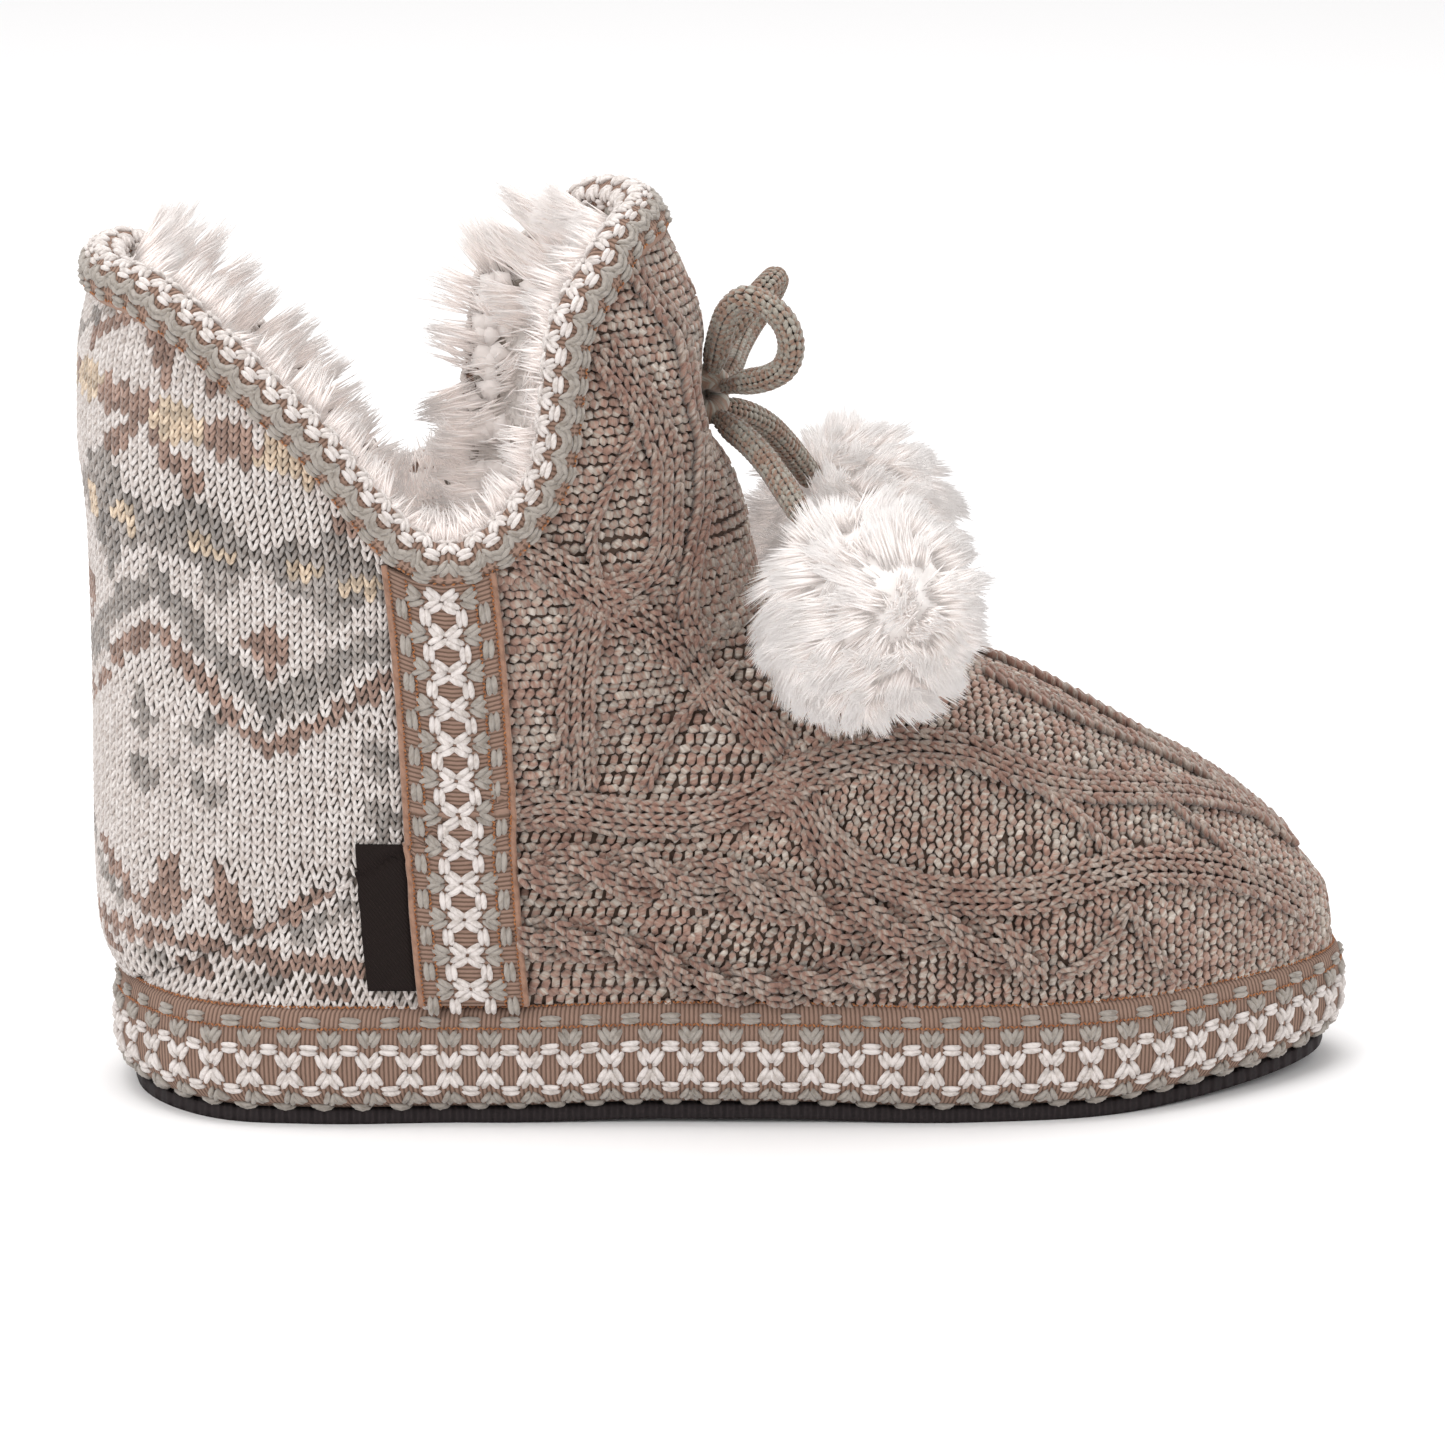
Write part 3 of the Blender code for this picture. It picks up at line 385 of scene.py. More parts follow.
def upper_rows():
    """Every section of the upper as real sizes, one row each, from the toe to the shaft's top:
    base x and z, ridge x and z, lateral and medial foot, swell, full, low."""
    rows = []
    over_feather = INSTEP_HEIGHT - FEATHER
    for turn, rise, bulge, ridge_x, ridge_z, swell, full, low in FOOT_ROWS:
        x, lateral, medial = (v[0] for v in sole_edge(math.radians(turn), FEATHER_INSET))
        lift = float(sole_lift(x, FEATHER))
        ridge = FEATHER + ridge_z * over_feather + lift * (1 - ridge_z)
        rows.append((
            x - bulge * HEEL_BULGE, FEATHER - HEM_TRIM + lift + rise * (ANKLE_HEIGHT - FEATHER),
            ridge_x * SOLE_LENGTH, ridge, lateral, medial, swell * BALL_WIDTH, full, low,
        ))
    for rise, bulge, ridge_x, ridge, width, low in HEEL_ROWS:
        rows.append((
            FEATHER_INSET - bulge * HEEL_BULGE, FEATHER + rise * (ANKLE_HEIGHT - FEATHER),
            ridge_x * SOLE_LENGTH, INSTEP_HEIGHT + ridge * (ANKLE_HEIGHT - INSTEP_HEIGHT),
            0, 0, width * COLLAR_WIDTH, RIDGE_FULLNESS, low,
        ))
    for height, front, back, width, low in SHAFT_ROWS:
        z = ANKLE_HEIGHT + height * (FRONT_HEIGHT - ANKLE_HEIGHT)
        rows.append((
            SHAFT_FRONT - back * COLLAR_LENGTH, z, SHAFT_FRONT - front * COLLAR_LENGTH, z,
            0, 0, width * COLLAR_WIDTH, RIDGE_FULLNESS, low,
        ))
    return np.column_stack([np.arange(len(rows)), rows])


ROWS = upper_rows()
SHAFT_START = len(ROWS) - len(SHAFT_ROWS)
SHAFT_END = len(ROWS) - 1


def section(along, side):
    """The upper's sections at these rows, counted in table rows from the toe: base and ridge as
    x and z, half width, the angle at the lower edge, and the fullness of the front and lower half.
    side: 1 medial, -1 lateral."""
    base_x, base_z, ridge_x, ridge_z, lateral, medial, swell, full, low = through(ROWS, along).T
    foot = np.maximum(np.where(np.asarray(side) < 0, lateral, medial), 0)
    width = np.hypot(foot, swell)
    end = math.pi - np.arcsin(np.clip(foot / np.maximum(width, 1e-9), 0, 1) ** (1 / low))
    return np.stack([base_x, base_z]), np.stack([ridge_x, ridge_z]), width, end, full, low


def twist_at(z):
    """How far the shaft's twist has moved its widest points at a height."""
    return SHAFT_TWIST * smooth((z - FEATHER) / (ANKLE_HEIGHT - FEATHER))


def upper_point(along, share):
    """The upper's outer surface. share: from the ridge, 0, down to the lower edge, 1, on the
    medial side, and to -1 on the lateral side. Each section is part of an ellipse in the plane
    through its ridge and base, and a dent in front is where the tie pulls the shaft in."""
    share = np.asarray(share, float)
    base, ridge, width, end, full, low = section(along, share)
    angle = np.abs(share) * end
    x, z = ridge + (base - ridge) * (1 - np.cos(angle)) / (1 - np.cos(end))
    fullness = np.where(angle < math.pi / 2, full, low)
    out = width * np.abs(np.sin(angle)) ** fullness * np.sign(share)
    pull = CINCH_DEPTH * np.exp(-((z - CINCH_HEIGHT) / CINCH_REACH) ** 2)
    pull = pull * np.exp(-(out / CINCH_SPREAD) ** 2) * (angle < math.pi / 2)
    twist = twist_at(z) * out / (COLLAR_WIDTH / 2)
    return np.column_stack([x - pull - twist, swing(x) + out, z])


def side_spot(x, z, side):
    """Row and share of the upper's point that a view from the side shows at x and z, found by
    halving: a section's line lies in front of the point or behind it."""
    low, high = np.zeros(len(x)), np.full(len(x), float(SHAFT_END))
    for _ in range(40):
        middle = (low + high) / 2
        base, ridge, _, end, _, _ = section(middle, side)
        line, spot = base - ridge, np.stack([x, z]) - ridge
        ahead = line[0] * spot[1] - line[1] * spot[0] > 0
        high = np.where(ahead, middle, high)
        low = np.where(ahead, low, middle)
    down = np.sum(line * spot, axis=0) / np.sum(line * line, axis=0)
    angle = np.arccos(np.clip(1 - down * (1 - np.cos(end)), -1, 1))
    return middle, side * np.minimum(angle / end, 1)


def upper_normal(along, share):
    """Outward normal of the upper, with the point's change along the rows and across them."""
    small = 1e-3
    by_row = (upper_point(along + small, share) - upper_point(along - small, share)) / (2 * small)
    by_share = (upper_point(along, share + small) - upper_point(along, share - small)) / (2 * small)
    normal = np.cross(by_share, by_row)
    return normal / np.maximum(np.linalg.norm(normal, axis=1), 1e-12)[:, None], by_row, by_share


def shaft_row(height):
    """Which table row of the shaft lies at a height."""
    along = np.linspace(SHAFT_START, SHAFT_END, 400)
    return np.interp(height, through(ROWS, along)[:, 1], along)


def collar_height(share):
    """Height of the collar line at a share of the half turn, lateral negative. The medial side's
    front edge lies a little further back."""
    where = np.abs(share)
    shift = through(COLLAR_ROWS, where)[:, 1] * (np.asarray(share) > 0)
    height = through(COLLAR_ROWS, np.clip(where + shift, 0, 1))[:, 0]
    top = np.where(where < 0.494, FRONT_HEIGHT, TAB_HEIGHT)
    return DIP_HEIGHT + height * (top - DIP_HEIGHT)


def collar_frame(share):
    """Rows of the collar line, the outward normal there, the direction that leads over the edge,
    and the steps in row and share that lead down the wall from it."""
    along = shaft_row(collar_height(share))
    point = upper_point(along, share)
    normal, by_row, by_share = upper_normal(along, share)
    line = np.roll(point, -1, axis=0) - np.roll(point, 1, axis=0)
    line /= np.linalg.norm(line, axis=1)[:, None]
    over = np.cross(normal, line)
    over *= np.sign(over[:, 2])[:, None]
    over /= np.linalg.norm(over, axis=1)[:, None]
    steps = [
        np.linalg.lstsq(np.column_stack([row, across]), way, rcond=None)[0]
        for row, across, way in zip(by_row, by_share, -over)
    ]
    return along, normal, over, np.array(steps)


# The last's own stations run from the sole's back end, and this shift leads to the frame's.
SHIFT = np.array([HEEL_BACK, SIDE_SHIFT, 0])


def lay(along, share, rise=0.0):
    """Points of the last at these rows and shares, raised along its normal, with that normal."""
    normal, _, _ = upper_normal(along, share)
    rise = np.broadcast_to(rise, len(normal))[:, None]
    return upper_point(along, share) + normal * rise + SHIFT, normal


def unit(vectors):
    """Vectors divided by their lengths."""
    return vectors / np.maximum(np.linalg.norm(vectors, axis=-1, keepdims=True), 1e-12)


def level(z, side):
    """The last's level line at height z on one side, from the back's middle forward: rows and
    shares along it. Under the ankle each slanted section is cut at z, from the one whose foot is
    at z, in steps that grow with the square; above it a ring is level."""
    if z >= ANKLE_HEIGHT:
        share = np.linspace(1, 0.01, 140)
        return np.full(140, shaft_row(z)), side * share
    climb = np.linspace(SHAFT_START - len(HEEL_ROWS) - 1, SHAFT_START, 200)
    first = float(np.interp(z, section(climb, side)[0][1], climb))
    along = first - (first - 0.2) * np.linspace(0, 1, 400) ** 2
    base, ridge, _, end, _, _ = section(along, side)
    down = np.clip((ridge[1] - z) / np.maximum(ridge[1] - base[1], 1e-9), 0, 1)
    angle = np.arccos(np.clip(1 - down * (1 - np.cos(end)), -1, 1))
    keep = ridge[1] > z
    return along[keep], side * np.minimum(angle / end, 1)[keep]


def even_steps(along, share, pitch, start=0.5):
    """Rows and shares at even steps of surface length along a line of the last."""
    line = upper_point(along, share)
    run = run_along(line)
    at = (np.arange(int(run[-1] / pitch)) + start) * pitch
    return np.interp(at, run, along), np.interp(at, run, share)


# Yarn: two-ply wool and acrylic, knitted and sewn into everything above the sole. A stitch's leg
# is a short bent spindle of it, and its twist and fibres are drawn along the spindle's own run.
PLACES = {1: [0.0], 2: [-0.55, 0.55], 3: [-0.68, 0.0, 0.68]}


def spindles(centre, way, out, length, width, thick, sag=0.0, tip=0.0, rings=2, sides=4, seed=1):
    """Legs of yarn as one set of points and faces. Each is rings of points round a line along
    way, radius the square root of one less the place squared, sunk by sag at both ends and
    raised by tip at the far one. Returns points, quads, triangles and strand coordinates: the
    run in millimetres and the turn round the yarn."""
    centre, way, out = np.atleast_2d(centre), unit(way), unit(out)
    across = unit(np.cross(way, out))
    count = len(centre)
    place = PLACES[rings]
    turn = (np.arange(sides) + 0.5) / sides
    spin = 2 * np.pi * turn - np.pi / 2
    s = np.concatenate([[-1.0], np.repeat(place, sides), [1.0]])
    radius = np.concatenate([[0.0], np.repeat(np.sqrt(1 - np.square(place)), sides), [0.0]])
    cos = np.concatenate([[0], np.tile(np.cos(spin), rings), [0]]) * radius
    sin = np.concatenate([[0], np.tile(np.sin(spin), rings), [0]]) * radius
    size = [np.broadcast_to(v, count)[:, None] for v in (length, width, thick, sag, tip)]
    points = (
        centre[:, None]
        + way[:, None] * (s * size[0] / 2)[..., None]
        + across[:, None] * (cos * size[1] / 2)[..., None]
        + out[:, None] * (sin * size[2] / 2 - size[3] * s ** 2 + size[4] * s)[..., None]
    )
    k = np.arange(sides)
    after = (k + 1) % sides
    ring = 1 + sides * np.arange(rings)
    quads = np.concatenate([
        np.stack([a + k, a + after, a + sides + after, a + sides + k], 1) for a in ring[:-1]
    ]) if rings > 1 else np.zeros((0, 4), int)
    top = 1 + rings * sides
    tips = np.concatenate([
        np.stack([np.zeros(sides, int), 1 + after, 1 + k], 1),
        np.stack([np.full(sides, top), ring[-1] + k, ring[-1] + after], 1),
    ])
    step = (np.arange(count) * (top + 1))[:, None, None]
    strand = np.empty((count, top + 1, 2))
    strand[..., 0] = s * size[0] * 500 + np.random.default_rng(seed).uniform(0, 400, count)[:, None]
    strand[..., 1] = np.concatenate([[0.5], np.tile(turn, rings), [0.5]])
    return (points.reshape(-1, 3), (quads + step).reshape(-1, 4), (tips + step).reshape(-1, 3),
            strand.reshape(-1, 2), top + 1)


def dyed(legs, code, low, high, random):
    """Legs with their dye: the code's colour, each leg's times its own random shade."""
    return legs, linear(code) * random.uniform(low, high, (len(legs[0]) // legs[4], 1))


def give_strand(mesh, strand):
    """Each point's run and turn along its yarn, kept as the mesh's coordinates."""
    corner = np.empty(len(mesh.loops), np.int32)
    mesh.loops.foreach_get("vertex_index", corner)
    layer_made = mesh.uv_layers.new(name="strand")
    layer_made.data.foreach_set("uv", strand[corner].astype(np.float32).ravel())


def give_dye_and_shade(mesh, dyes):
    """Each point's colour, kept on the mesh: a dye, and on some pieces a painted shade."""
    kept = mesh.attributes.new("dye", "FLOAT_COLOR", "POINT")
    kept.data.foreach_set("color", np.column_stack([dyes, np.ones(len(dyes))]).astype(np.float32).ravel())


def yarn_object(name, parts, material):
    """One object from several sets of spindles, each with its colour, one a leg: a dye, and on some parts a
    painted shade.
    """
    points, quads, tips, strands, dyes, start = [], [], [], [], [], 0
    for (point, quad, tip, strand, each), dye in parts:
        points.append(point)
        quads.append(quad + start)
        tips.append(tip + start)
        strands.append(strand)
        dyes.append(np.repeat(np.broadcast_to(dye, (len(point) // each, 3)), each, axis=0))
        start += len(point)
    made = make_object(name, np.concatenate(points), [np.concatenate(quads), np.concatenate(tips)], material)
    give_strand(made.data, np.concatenate(strands))
    give_dye_and_shade(made.data, np.concatenate(dyes))
    return made


def times_dye_and_shade(tree, colour):
    """The socket of a colour times the mesh's own colour: its dye, and on some pieces a painted shade."""
    tint = add(tree, "ShaderNodeAttribute", attribute_name="dye")
    product = add(tree, "ShaderNodeMix", {0: 1.0, 6: colour, 7: tint.outputs["Color"]},
                  data_type="RGBA", blend_type="MULTIPLY")
    return product.outputs[2]


def strand_place(tree):
    """The sockets of a place on a strand: as a whole, its run in mm, and its turn or reach."""
    place = add(tree, "ShaderNodeUVMap", uv_map="strand").outputs[0]
    run, across, _ = add(tree, "ShaderNodeSeparateXYZ", {0: place}).outputs
    return place, run, across


def maths(tree, operation, *values):
    """The socket of one sum of values and sockets."""
    return add(tree, "ShaderNodeMath", dict(enumerate(values)), operation=operation).outputs[0]


def noise(tree, place, scale, detail, **more):
    """The socket of a noise of so many lumps to a unit of place, with finer layers on them."""
    inputs = {"Vector": place, "Scale": scale, "Detail": detail, **more}
    return add(tree, "ShaderNodeTexNoise", inputs).outputs[0]


def yarn(name, fibres, twist=0.30, ply_depth=0.16, patches=0.0):
    """Spun yarn: streaks of the fibres' colours run round the strand with its twist, times the
    leg's colour (its dye, on some parts a painted shade), and two plies stand up as bump, in mm. twist
    is turns a millimetre; patches shifts the colours slowly over some 8 mm, as the mixed roving does."""
    material, tree, shader = new_material(name, Roughness=0.92, Sheen_Weight=0.25, Sheen_Roughness=0.5)
    _, run, turn = strand_place(tree)
    turned = maths(tree, "MULTIPLY_ADD", run, twist, turn)
    along = maths(tree, "MULTIPLY", run, 0.40)
    streak = add(tree, "ShaderNodeCombineXYZ", {0: along, 1: maths(tree, "MULTIPLY", turned, 2.2)})
    mottle = noise(tree, streak.outputs[0], 0.8, 3.0, Roughness=0.7)
    slow = maths(tree, "ADD", noise(tree, object_place(tree), 110.0, 1.0), -0.5)
    ramp = add(tree, "ShaderNodeValToRGB", {0: maths(tree, "MULTIPLY_ADD", slow, patches, mottle)})
    stops = ramp.color_ramp.elements
    for i, (at, code) in enumerate(fibres):
        stop = stops[i] if i < 2 else stops.new(at)
        stop.position, stop.color = at, paint(code)
    fill(tree, shader, {"Base Color": times_dye_and_shade(tree, ramp.outputs[0])})
    wave = maths(tree, "SINE", maths(tree, "MULTIPLY", turned, 4 * math.pi))
    fibre = add(tree, "ShaderNodeCombineXYZ", {0: along, 1: maths(tree, "MULTIPLY", turned, 9.0)})
    relief = maths(tree, "MULTIPLY_ADD", wave, 0.25, noise(tree, fibre.outputs[0], 1.2, 2.0))
    bumped(tree, shader, relief, 0.8, ply_depth / 1000)
    return material


# Heel and back of the shaft: plain stockinette in four dyes, one V of two legs for each stitch,
# worked up from the sole, with a stranded traditional band pattern counted one by one.
WALE, COURSE = 0.0026, 0.00182
BRAID_TOP_STATION = 0.247
BRAID_FOOT_STATION = 0.2885
BRAID_WIDTH = 0.0215
BINDING_HEIGHT = 0.0072
LEG_LEAN = 0.36
HEEL_RISE = -0.0003
CHART_COURSES = 110
HEEL_LEVELS, HALF_WALES = 90, 45
FIRST_COURSE, LAST_COURSE = -8, 100


def braid_middle(height):
    """Station of the side braid's middle at a height above the floor."""
    share = (height - FEATHER) / (DIP_HEIGHT - FEATHER)
    return (BRAID_FOOT_STATION + (BRAID_TOP_STATION - BRAID_FOOT_STATION) * share) * SOLE_LENGTH


REPEAT = 40
# The course that a motif starts on, counted from the sole, then its rows from the bottom up, a
# letter a stitch. A row of 20 is worked twice. A leaf's rows are mirrored about their middle.
LEAVES = [
    "........g..bbb......", ".......gg.bbbbb.b...", "......gg.bb.bbb.b...", ".....gg.bb..bbbb....",
    "....gg.bb...bbb.....", "...gg.bb.....bb.....", "..gg.bb......bb.....", ".gg..b........b.....",
    ".g..................",
]
LEAVES = [row[:16] + "." + row[15::-1] + "......." for row in LEAVES]
MOTIFS = [
    (0, ["gg...bbb...ggg..bbb.", "ggg..bbb..gggg..bbb.", "....................",
         "bbbbbbbbbbbbbbbbbbbb", "bbbbbbbbbbbbbbbbbbbb"]),
    (6, LEAVES),
    (20, [".g.............g....", "ggg...........ggg...", "ggg...........ggg...",
          ".gg............gg...", "..................g.", "....................",
          "..................g.", ".gg............gg...", "gg.............ggg..",
          "ggg...........ggg...", ".gg...........gg....", "..g...........g....."]),
    (37, ["..........b.........", ".........bbb........", "........bbbbb.......",
          ".........bbb........", "..........b........."]),
    (43, [".....g..............", "....ggg.......g.....", "....ggg......ggg....",
          "...ggggg.....ggg....", "gggggggggg..ggggggg.", "ggtttggttgg.gttttggg",
          "gtttggtttgggggtttggg", "gggggggggg..gggggggg", "..ggggggg....ggggg..",
          "...ggggg......ggg...", "....gg.............."]),
    (54, ["...bb..........bb...", "..bbb..........bbb..", "..bb............bbb.",
          ".bb..............bb.", ".b................bb"]),
    (59, ["bbbbbbtttttbbbbttttt", "bbbbbbtttttbbbbttttt", "bbbbbtttttbbbbbttttb", "bbbbb.tttt.bbbb.ttt."]),
    (64, LEAVES[::-1]),
    (75, ["....gg......gg......", "...gg........gg.....", "..gg..........gg....", ".gg............gg..."]),
]
CHART = np.full((CHART_COURSES, REPEAT), ".")
for first, rows in MOTIFS:
    for up, row in enumerate(rows):
        CHART[first + up] = list(row * (REPEAT // len(row)))
# Two zigzags, brown and then grey, climb 1.12 courses a wale to each side of their valleys.
ZIGZAG_CLIMB = 1.12
wales = np.arange(REPEAT)
valley = np.abs(wales % (REPEAT // 2) - REPEAT // 4)
for foot, dye, courses in ((27, "b", 2), (31, "g", 4)):
    for up in range(courses):
        CHART[np.round(foot + up + ZIGZAG_CLIMB * valley).astype(int), wales] = dye
DYES = {".": "DDD6D2", "b": "A3887B", "g": "A59E99", "t": "D6C3AC"}
# How much a course climbs towards the heel's back, by its height at the braid.
COURSE_CLIMB = np.array([(0.03, 0.10), (0.09, 0.13), (0.115, 0.17), (0.14, 0.28), (0.19, 0.32)])


def heel_stitches(side):
    """Stitch places on one side of the heel: wales stand at even steps of the level lines from
    the back's middle, and each course climbs backwards. Returns rows, shares, course, wale."""
    heights = np.linspace(FEATHER + 0.0002, FRONT_HEIGHT - 0.004, HEEL_LEVELS)
    lines = [even_steps(*level(z, side), WALE) for z in heights]
    wales = min(HALF_WALES, min(len(line[0]) for line in lines))
    along, share = (np.array([line[k][:wales] for line in lines]) for k in (0, 1))
    x = upper_point(along.ravel(), share.ravel())[:, 0].reshape(along.shape)
    x = x + side * twist_at(heights)[:, None]
    behind = np.maximum((braid_middle(heights) - BRAID_WIDTH / 2)[:, None] - x, 0)
    foot = heights[:, None] - np.interp(heights, *COURSE_CLIMB.T)[:, None] * behind
    courses, ring = np.arange(FIRST_COURSE, LAST_COURSE), np.arange(wales)
    z = FEATHER - 0.0006 + (courses + 0.5) * COURSE
    fields = along, share, x, np.broadcast_to(heights[:, None], x.shape)
    found = np.array([[np.interp(z, foot[:, k], field[:, k]) for k in ring] for field in fields])
    inside = (foot[0] - COURSE < z[:, None]) & (z[:, None] < foot[-1])
    along, share, x, z = found.transpose(0, 2, 1)[:, inside]
    course, wale = (number[inside] for number in np.meshgrid(courses, ring, indexing="ij"))
    keep = (x < braid_middle(z) - BRAID_WIDTH / 2 + 0.0012) & below_binding(share, z)
    return along[keep], share[keep], course[keep], wale[keep]


def below_binding(share, z, under=0.0058):
    """Whether a height lies under the binding's foot; stitches reach in under it a little."""
    return z < collar_height(share) - BINDING_HEIGHT + under


def vees(along, share, dye, seed):
    """The two legs of each V stitch: they lean out from the stitch's foot, which stands in front
    of the stitch below, to its head behind the one above."""
    centre, _ = lay(along, share, HEEL_RISE)
    _, normal = lay(along, share)
    up_way = unit(np.array([0, 0, 1.0]) - normal * normal[:, 2:3])
    side_way = np.cross(up_way, normal)
    parts = []
    for hand in (-1, 1):
        lean = hand * LEG_LEAN
        way = up_way * math.cos(lean) + side_way * math.sin(lean)
        middle = centre + side_way * (hand * WALE * 0.24)
        legs = spindles(middle, way, normal, COURSE * 1.86, WALE * 0.50, WALE * 0.54,
                        sag=0.00012, tip=-0.00030, seed=seed + hand)
        parts.append((legs, dye))
    return parts


# Acrylic knitting yarn: matt, and its light fibres leave the stitch's own dye nearly as it is.
stockinette = yarn("dyed_acrylic_knitting_yarn", [(0.34, "C9C0BA"), (0.62, "FFFFFF")])
for side, hand in ((-1, "lateral"), (1, "medial")):
    along, share, course, wale = heel_stitches(side)
    last_wale = int(wale[(course > 34) & (course < 44)].max())
    random = np.random.default_rng(11 + side)
    strayed = (course + (random.random(len(course)) < 0.22)).astype(int)
    letters = np.where(course < 0, ".", CHART[np.maximum(strayed, 0), (last_wale - wale) % REPEAT])
    dye = np.array([linear(DYES[letter]) for letter in letters])
    faint, strong = random.uniform(0.93, 1.0, len(dye)), random.uniform(0.66, 1.20, len(dye))
    dye = np.minimum(dye * np.where(letters == ".", faint, strong)[:, None], 1)
    ride_all("upper", yarn_object("heel_knit_" + hand, vees(along, share, dye, 5), stockinette))

# Knitted ground: the cloth between the stitches, painted dark there as the shade that falls between them. It
# is one closed sheet as thick as the wall, from just under the stitches to the lining, and it stands for the
# upper's solid.
GROUND_SINK = 0.0010
GROUND_COLUMNS, FOOT_STEPS, SHAFT_STEPS = 101, 60, 30


def ramped(tree, feed, low, high, high_at=1.0):
    """The socket of a colour that runs from low to high, two hex codes, as the feed grows."""
    ramp = add(tree, "ShaderNodeValToRGB", {0: feed})
    start, end = ramp.color_ramp.elements
    start.color, end.color, end.position = paint(low), paint(high), high_at
    return ramp.outputs[0]


# Shaded cloth: matt, mottled at a millimetre and painted dark, a painted shade, so that the gaps between
# stitches read as deep.
ground_cloth_painted_shade, tree, shader = new_material("knit_ground_painted_shade", Roughness=1.0)
weave = noise(tree, object_place(tree), 900.0, 2.0)
fill(tree, shader, {"Base Color": times_dye_and_shade(tree, ramped(tree, weave, "A09A94", "FFFFFF"))})
share = np.linspace(-1, 1, GROUND_COLUMNS)
below = np.linspace(0.02, SHAFT_START, FOOT_STEPS)
grid = [np.column_stack([np.full(GROUND_COLUMNS, row), share]) for row in below]
for up in np.linspace(0, 1, SHAFT_STEPS)[1:]:
    z = ANKLE_HEIGHT + (collar_height(share) - 0.001 - ANKLE_HEIGHT) * up
    grid.append(np.column_stack([shaft_row(z), share]))
grid = np.array(grid)
outer, normal = lay(grid[..., 0].ravel(), grid[..., 1].ravel(), -GROUND_SINK)
inner = outer - normal * (WALL - GROUND_SINK)


def closed(points, faces):
    """The faces turned so that they look outwards, told by the volume that they enclose."""
    total = 0.0
    for part in faces:
        for k in range(1, part.shape[1] - 1):
            a, b, c = points[part[:, 0]], points[part[:, k]], points[part[:, k + 1]]
            total += np.einsum("ij,ij->", a - points[0], np.cross(b - points[0], c - points[0]))
    return faces if total > 0 else [part[:, ::-1] for part in faces]


def sheet(outer, inner, rows, columns):
    """A closed wall between two grids of points: both faces and the rim all round them."""
    k = np.arange(rows * columns).reshape(rows, columns)
    face = np.stack([k[:-1, :-1], k[1:, :-1], k[1:, 1:], k[:-1, 1:]], -1).reshape(-1, 4)
    rim = np.concatenate([k[0, :-1], k[:-1, -1], k[-1, :0:-1], k[:0:-1, 0]])
    after = np.roll(rim, -1)
    size = rows * columns
    points = np.concatenate([outer, inner])
    faces = [face, face[:, ::-1] + size, np.stack([rim, after, after + size, rim + size], 1)]
    return points, closed(points, faces)


def tube(route, radius, sides):
    """A closed round tube along a route of points, with its frames: centre, way, out, across."""
    way = unit(np.gradient(route, axis=0))
    out = np.zeros_like(route)
    out[0] = unit(np.cross(way[0], [0.3, 1.0, 0.2]))
    for i in range(1, len(route)):
        out[i] = unit(out[i - 1] - way[i] * (out[i - 1] @ way[i]))
    across = np.cross(way, out)
    turn = np.arange(sides) / sides * 2 * np.pi
    radius = np.broadcast_to(radius, len(route))
    ring = out[:, None] * np.cos(turn)[:, None] + across[:, None] * np.sin(turn)[:, None]
    ring = ring * radius[:, None, None]
    points = np.concatenate([(route[:, None] + ring).reshape(-1, 3), route[[0, -1]]])
    k = np.arange(sides)
    after = (k + 1) % sides
    start = (np.arange(len(route) - 1) * sides)[:, None, None]
    wall = (np.stack([k, after, after + sides, k + sides], 1) + start).reshape(-1, 4)
    last = (len(route) - 1) * sides
    ends = np.concatenate([
        np.stack([np.full(sides, len(points) - 2), after, k], 1),
        np.stack([np.full(sides, len(points) - 1), last + k, last + after], 1),
    ])
    return points, closed(points, [wall, ends]), (route, way, out, across)


def round_yarn(route, radius, sides, run):
    """A tube of yarn as one leg, with its run in mm at each point of the route and its frames."""
    points, faces, frames = tube(route, radius, sides)
    strand = np.column_stack([np.repeat(run, sides), np.tile(np.arange(sides) / sides, len(route))])
    return (points, *faces, np.concatenate([strand, [[0, 0], [0, 0]]]), len(points)), frames


points, faces = sheet(outer, inner, *grid.shape[:2])
knit_ground = make_object("knit_ground", points, faces, ground_cloth_painted_shade)
behind = points[:, 0] < braid_middle(points[:, 2]) + HEEL_BACK
# Painted shade between the stitches: darker than the yarn, grey-beige behind the braid and brown in front of
# it, as the yarns are.
give_dye_and_shade(knit_ground.data, np.where(behind[:, None], linear("8E837B"), linear("6A584D")))
ride_all("upper", knit_ground, stands_for="upper")


# Vamp: a ground of small purl bumps in marled yarn, which the raised cable ribs stand on. Over
# the foot its rows follow the last's sections; behind them they are level, up to the braid.
def on_side(x, z, side):
    """Row and share of the last's point whose own station and height are x and z."""
    guess = np.array(x, float)
    for _ in range(4):
        along, share = side_spot(guess, z, side)
        guess = guess + x - upper_point(along, share)[:, 0]
    return along, share


# Marled wool blend: brown and grey fibres mixed in streaks, with slow patches of either.
MARLED_FIBRES = [(0.36, "8A6B5E"), (0.46, "A08275"), (0.54, "A3978C"), (0.70, "C7BFB7")]
marled = yarn("marled_wool_blend_yarn", MARLED_FIBRES, patches=0.20)
FAN_ROW, FAN_START, FAN_SHARE = 9.0, 0.4, -0.80
BUMP_WALE, BUMP_COURSE = 0.0022, 0.0019
BUMP_RISE, BUMP_SHAKE = -0.0004, 0.00014
INSTEP_SHARE = 0.24
spots = []


def bump_line(along, share, course):
    """Bumps at even steps of a line, every other course set off by half a wale."""
    return even_steps(along, share, BUMP_WALE, 0.25 + 0.5 * (course % 2))


